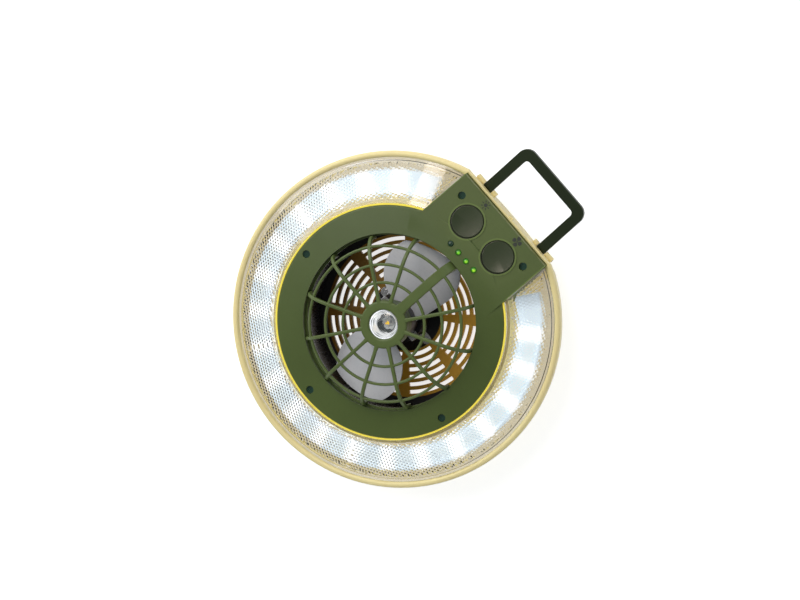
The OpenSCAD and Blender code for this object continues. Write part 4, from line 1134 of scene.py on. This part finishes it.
class FAN_OT_stage(Builder, bpy.types.Operator):
    """Set up the floor, the camera and the lights"""
    bl_idname = "fan.stage"
    bl_label = "Stage"

    def build(self, sizes, tones, stage):
        scene = bpy.context.scene
        scene.view_settings.view_transform = "Standard"
        back = Vector((0.0936, 0.2577, 0.9617)).normalized()
        right = Vector((0.6478, 0.7178, -0.2553))
        right = (right - right.dot(back) * back).normalized()
        up = back.cross(right)
        self.camera(scene, stage.camera_distance, back, right, up)
        self.floor()
        self.world(scene)
        panel = Vector((0, math.sin(PANEL_TILT), math.cos(PANEL_TILT)))
        mirror = 2 * panel.dot(back) * panel - back
        aside = 0.9135 * up - 0.407 * right
        aside = (aside - aside.dot(mirror) * mirror).normalized()
        way = mirror * math.cos(0.36) + aside * math.sin(0.36)
        self.softbox("key_softbox", Vector((-0.025, 0.09, 0.045)), way, aside, 1.5, (0.30, 0.60),
                     stage.key_power, (1.0, 0.86, 0.72))
        way = back * math.cos(0.87) + (0.6 * up - 0.8 * right) * math.sin(0.87)
        self.softbox("fill_softbox", Vector(), way, up, 1.8, (1.6, 1.6), stage.fill_power, (1.0, 1.0, 1.0))

    def camera(self, scene, distance, back, right, up):
        """Looks at the middle of the frame from some way off; a pixel of 800 stands for 0.70741 mm."""
        pixel, aside, rise = 0.70741 * MM, 400.0 - 395.31, 319.87 - 300.0
        aim = Vector((0, 0, 36 * MM)) + (aside * right + rise * up) * pixel
        lens = bpy.data.cameras.new("view")
        lens.sensor_width = 36.0
        lens.lens = 36.0 * distance / (800 * pixel)
        made = bpy.data.objects.new("view", lens)
        made.matrix_world = Matrix.Translation(aim + distance * back) @ Matrix(
            (right, up, back)).transposed().to_4x4()
        scene.collection.objects.link(made)
        scene.camera = made

    def floor(self):
        half, low = 3.0, -0.0003
        mesh = bpy.data.meshes.new("floor")
        mesh.from_pydata([(x * half, y * half, low) for x, y in ((-1, -1), (1, -1), (1, 1), (-1, 1))], [],
                         [(0, 1, 2, 3)])
        made = new_object("floor", mesh)
        look = Look("pale_floor")
        tone = look.mix(look.noise(2.0), (0.80, 0.80, 0.80), (0.82, 0.82, 0.82))
        look.finish(Base_Color=tone, Roughness=0.8)
        glow = look.add("ShaderNodeEmission", {}, {"Color": (1.0, 1.0, 1.0, 1.0), "Strength": 0.76})
        dull = look.add("ShaderNodeBsdfDiffuse", {}, {"Color": (0.62, 0.66, 0.7, 1.0)})
        both = look.add("ShaderNodeAddShader", {}, {0: glow, 1: dull})
        seen, mirrored, through = [look.add("ShaderNodeLightPath", out="Is %s Ray" % ray)
                                   for ray in ("Camera", "Glossy", "Transmission")]
        mixed = look.add("ShaderNodeMixShader", {}, {
            0: seen.apply("MAXIMUM", mirrored).apply("MAXIMUM", through),
            1: Value(look, look.shader.outputs[0]), 2: both})
        look.tree.links.new(mixed.socket, look.output.inputs["Surface"])
        made.data.materials.append(look.material)

    def world(self, scene):
        scene.world = bpy.data.worlds.new("studio")
        scene.world.use_nodes = True
        graph = Graph(scene.world.node_tree)
        graph.tree.nodes.clear()
        seen = graph.add("ShaderNodeLightPath", out="Is Camera Ray")
        level = graph.split(graph.add("ShaderNodeTexCoord", out="Generated"))[2].ramp(1.0, 0.0) * 0.55 + 0.14
        sky = graph.add("ShaderNodeBackground", {}, {"Color": (1.0, 1.0, 1.0, 1.0),
                                                     "Strength": seen.apply("MAXIMUM", level)})
        end = graph.tree.nodes.new("ShaderNodeOutputWorld")
        graph.tree.links.new(sky.socket, end.inputs["Surface"])

    def softbox(self, name, target, way, long_side, distance, size, power, tone):
        """A rectangular light that faces a target from some way off, its second side along long_side."""
        lamp = bpy.data.lights.new(name, "AREA")
        lamp.shape, lamp.size, lamp.size_y = "RECTANGLE", *size
        lamp.energy, lamp.color = power, tone
        made = bpy.data.objects.new(name, lamp)
        z = way.normalized()
        y = (long_side - long_side.dot(z) * z).normalized()
        made.matrix_world = Matrix.Translation(target + z * distance) @ Matrix(
            (y.cross(z), y, z)).transposed().to_4x4()
        made.visible_camera = False
        bpy.context.scene.collection.objects.link(made)


OPERATORS = (FAN_OT_shell, FAN_OT_cover, FAN_OT_grille, FAN_OT_ring_light, FAN_OT_spot, FAN_OT_rotor,
             FAN_OT_electronics, FAN_OT_screws, FAN_OT_bail, FAN_OT_stage)


class FAN_PT_panel(bpy.types.Panel):
    """Lists the fan's pieces"""
    bl_label = "Camping Fan"
    bl_idname = "FAN_PT_panel"
    bl_space_type = "VIEW_3D"
    bl_region_type = "UI"
    bl_category = "Camping Fan"

    def draw(self, context):
        for group in (context.scene.fan_sizes, context.scene.fan_colours, context.scene.fan_stage):
            box = self.layout.box()
            for name in group.bl_rna.properties.keys():
                if name not in {"rna_type", "name"}:
                    box.prop(group, name)
        for kind in OPERATORS:
            self.layout.operator(kind.bl_idname)


CLASSES = (FanSizes, FanColours, FanStage, *OPERATORS, FAN_PT_panel)


def register():
    for kind in CLASSES:
        bpy.utils.register_class(kind)
    bpy.types.Scene.fan_sizes = PointerProperty(type=FanSizes)
    bpy.types.Scene.fan_colours = PointerProperty(type=FanColours)
    bpy.types.Scene.fan_stage = PointerProperty(type=FanStage)


def unregister():
    for name in ("fan_sizes", "fan_colours", "fan_stage"):
        delattr(bpy.types.Scene, name)
    for kind in reversed(CLASSES):
        bpy.utils.unregister_class(kind)


def main():
    register()
    for kind in OPERATORS:
        group, name = kind.bl_idname.split(".")
        getattr(getattr(bpy.ops, group), name)()
    bpy.context.view_layer.update()


if __name__ == "__main__":
    main()
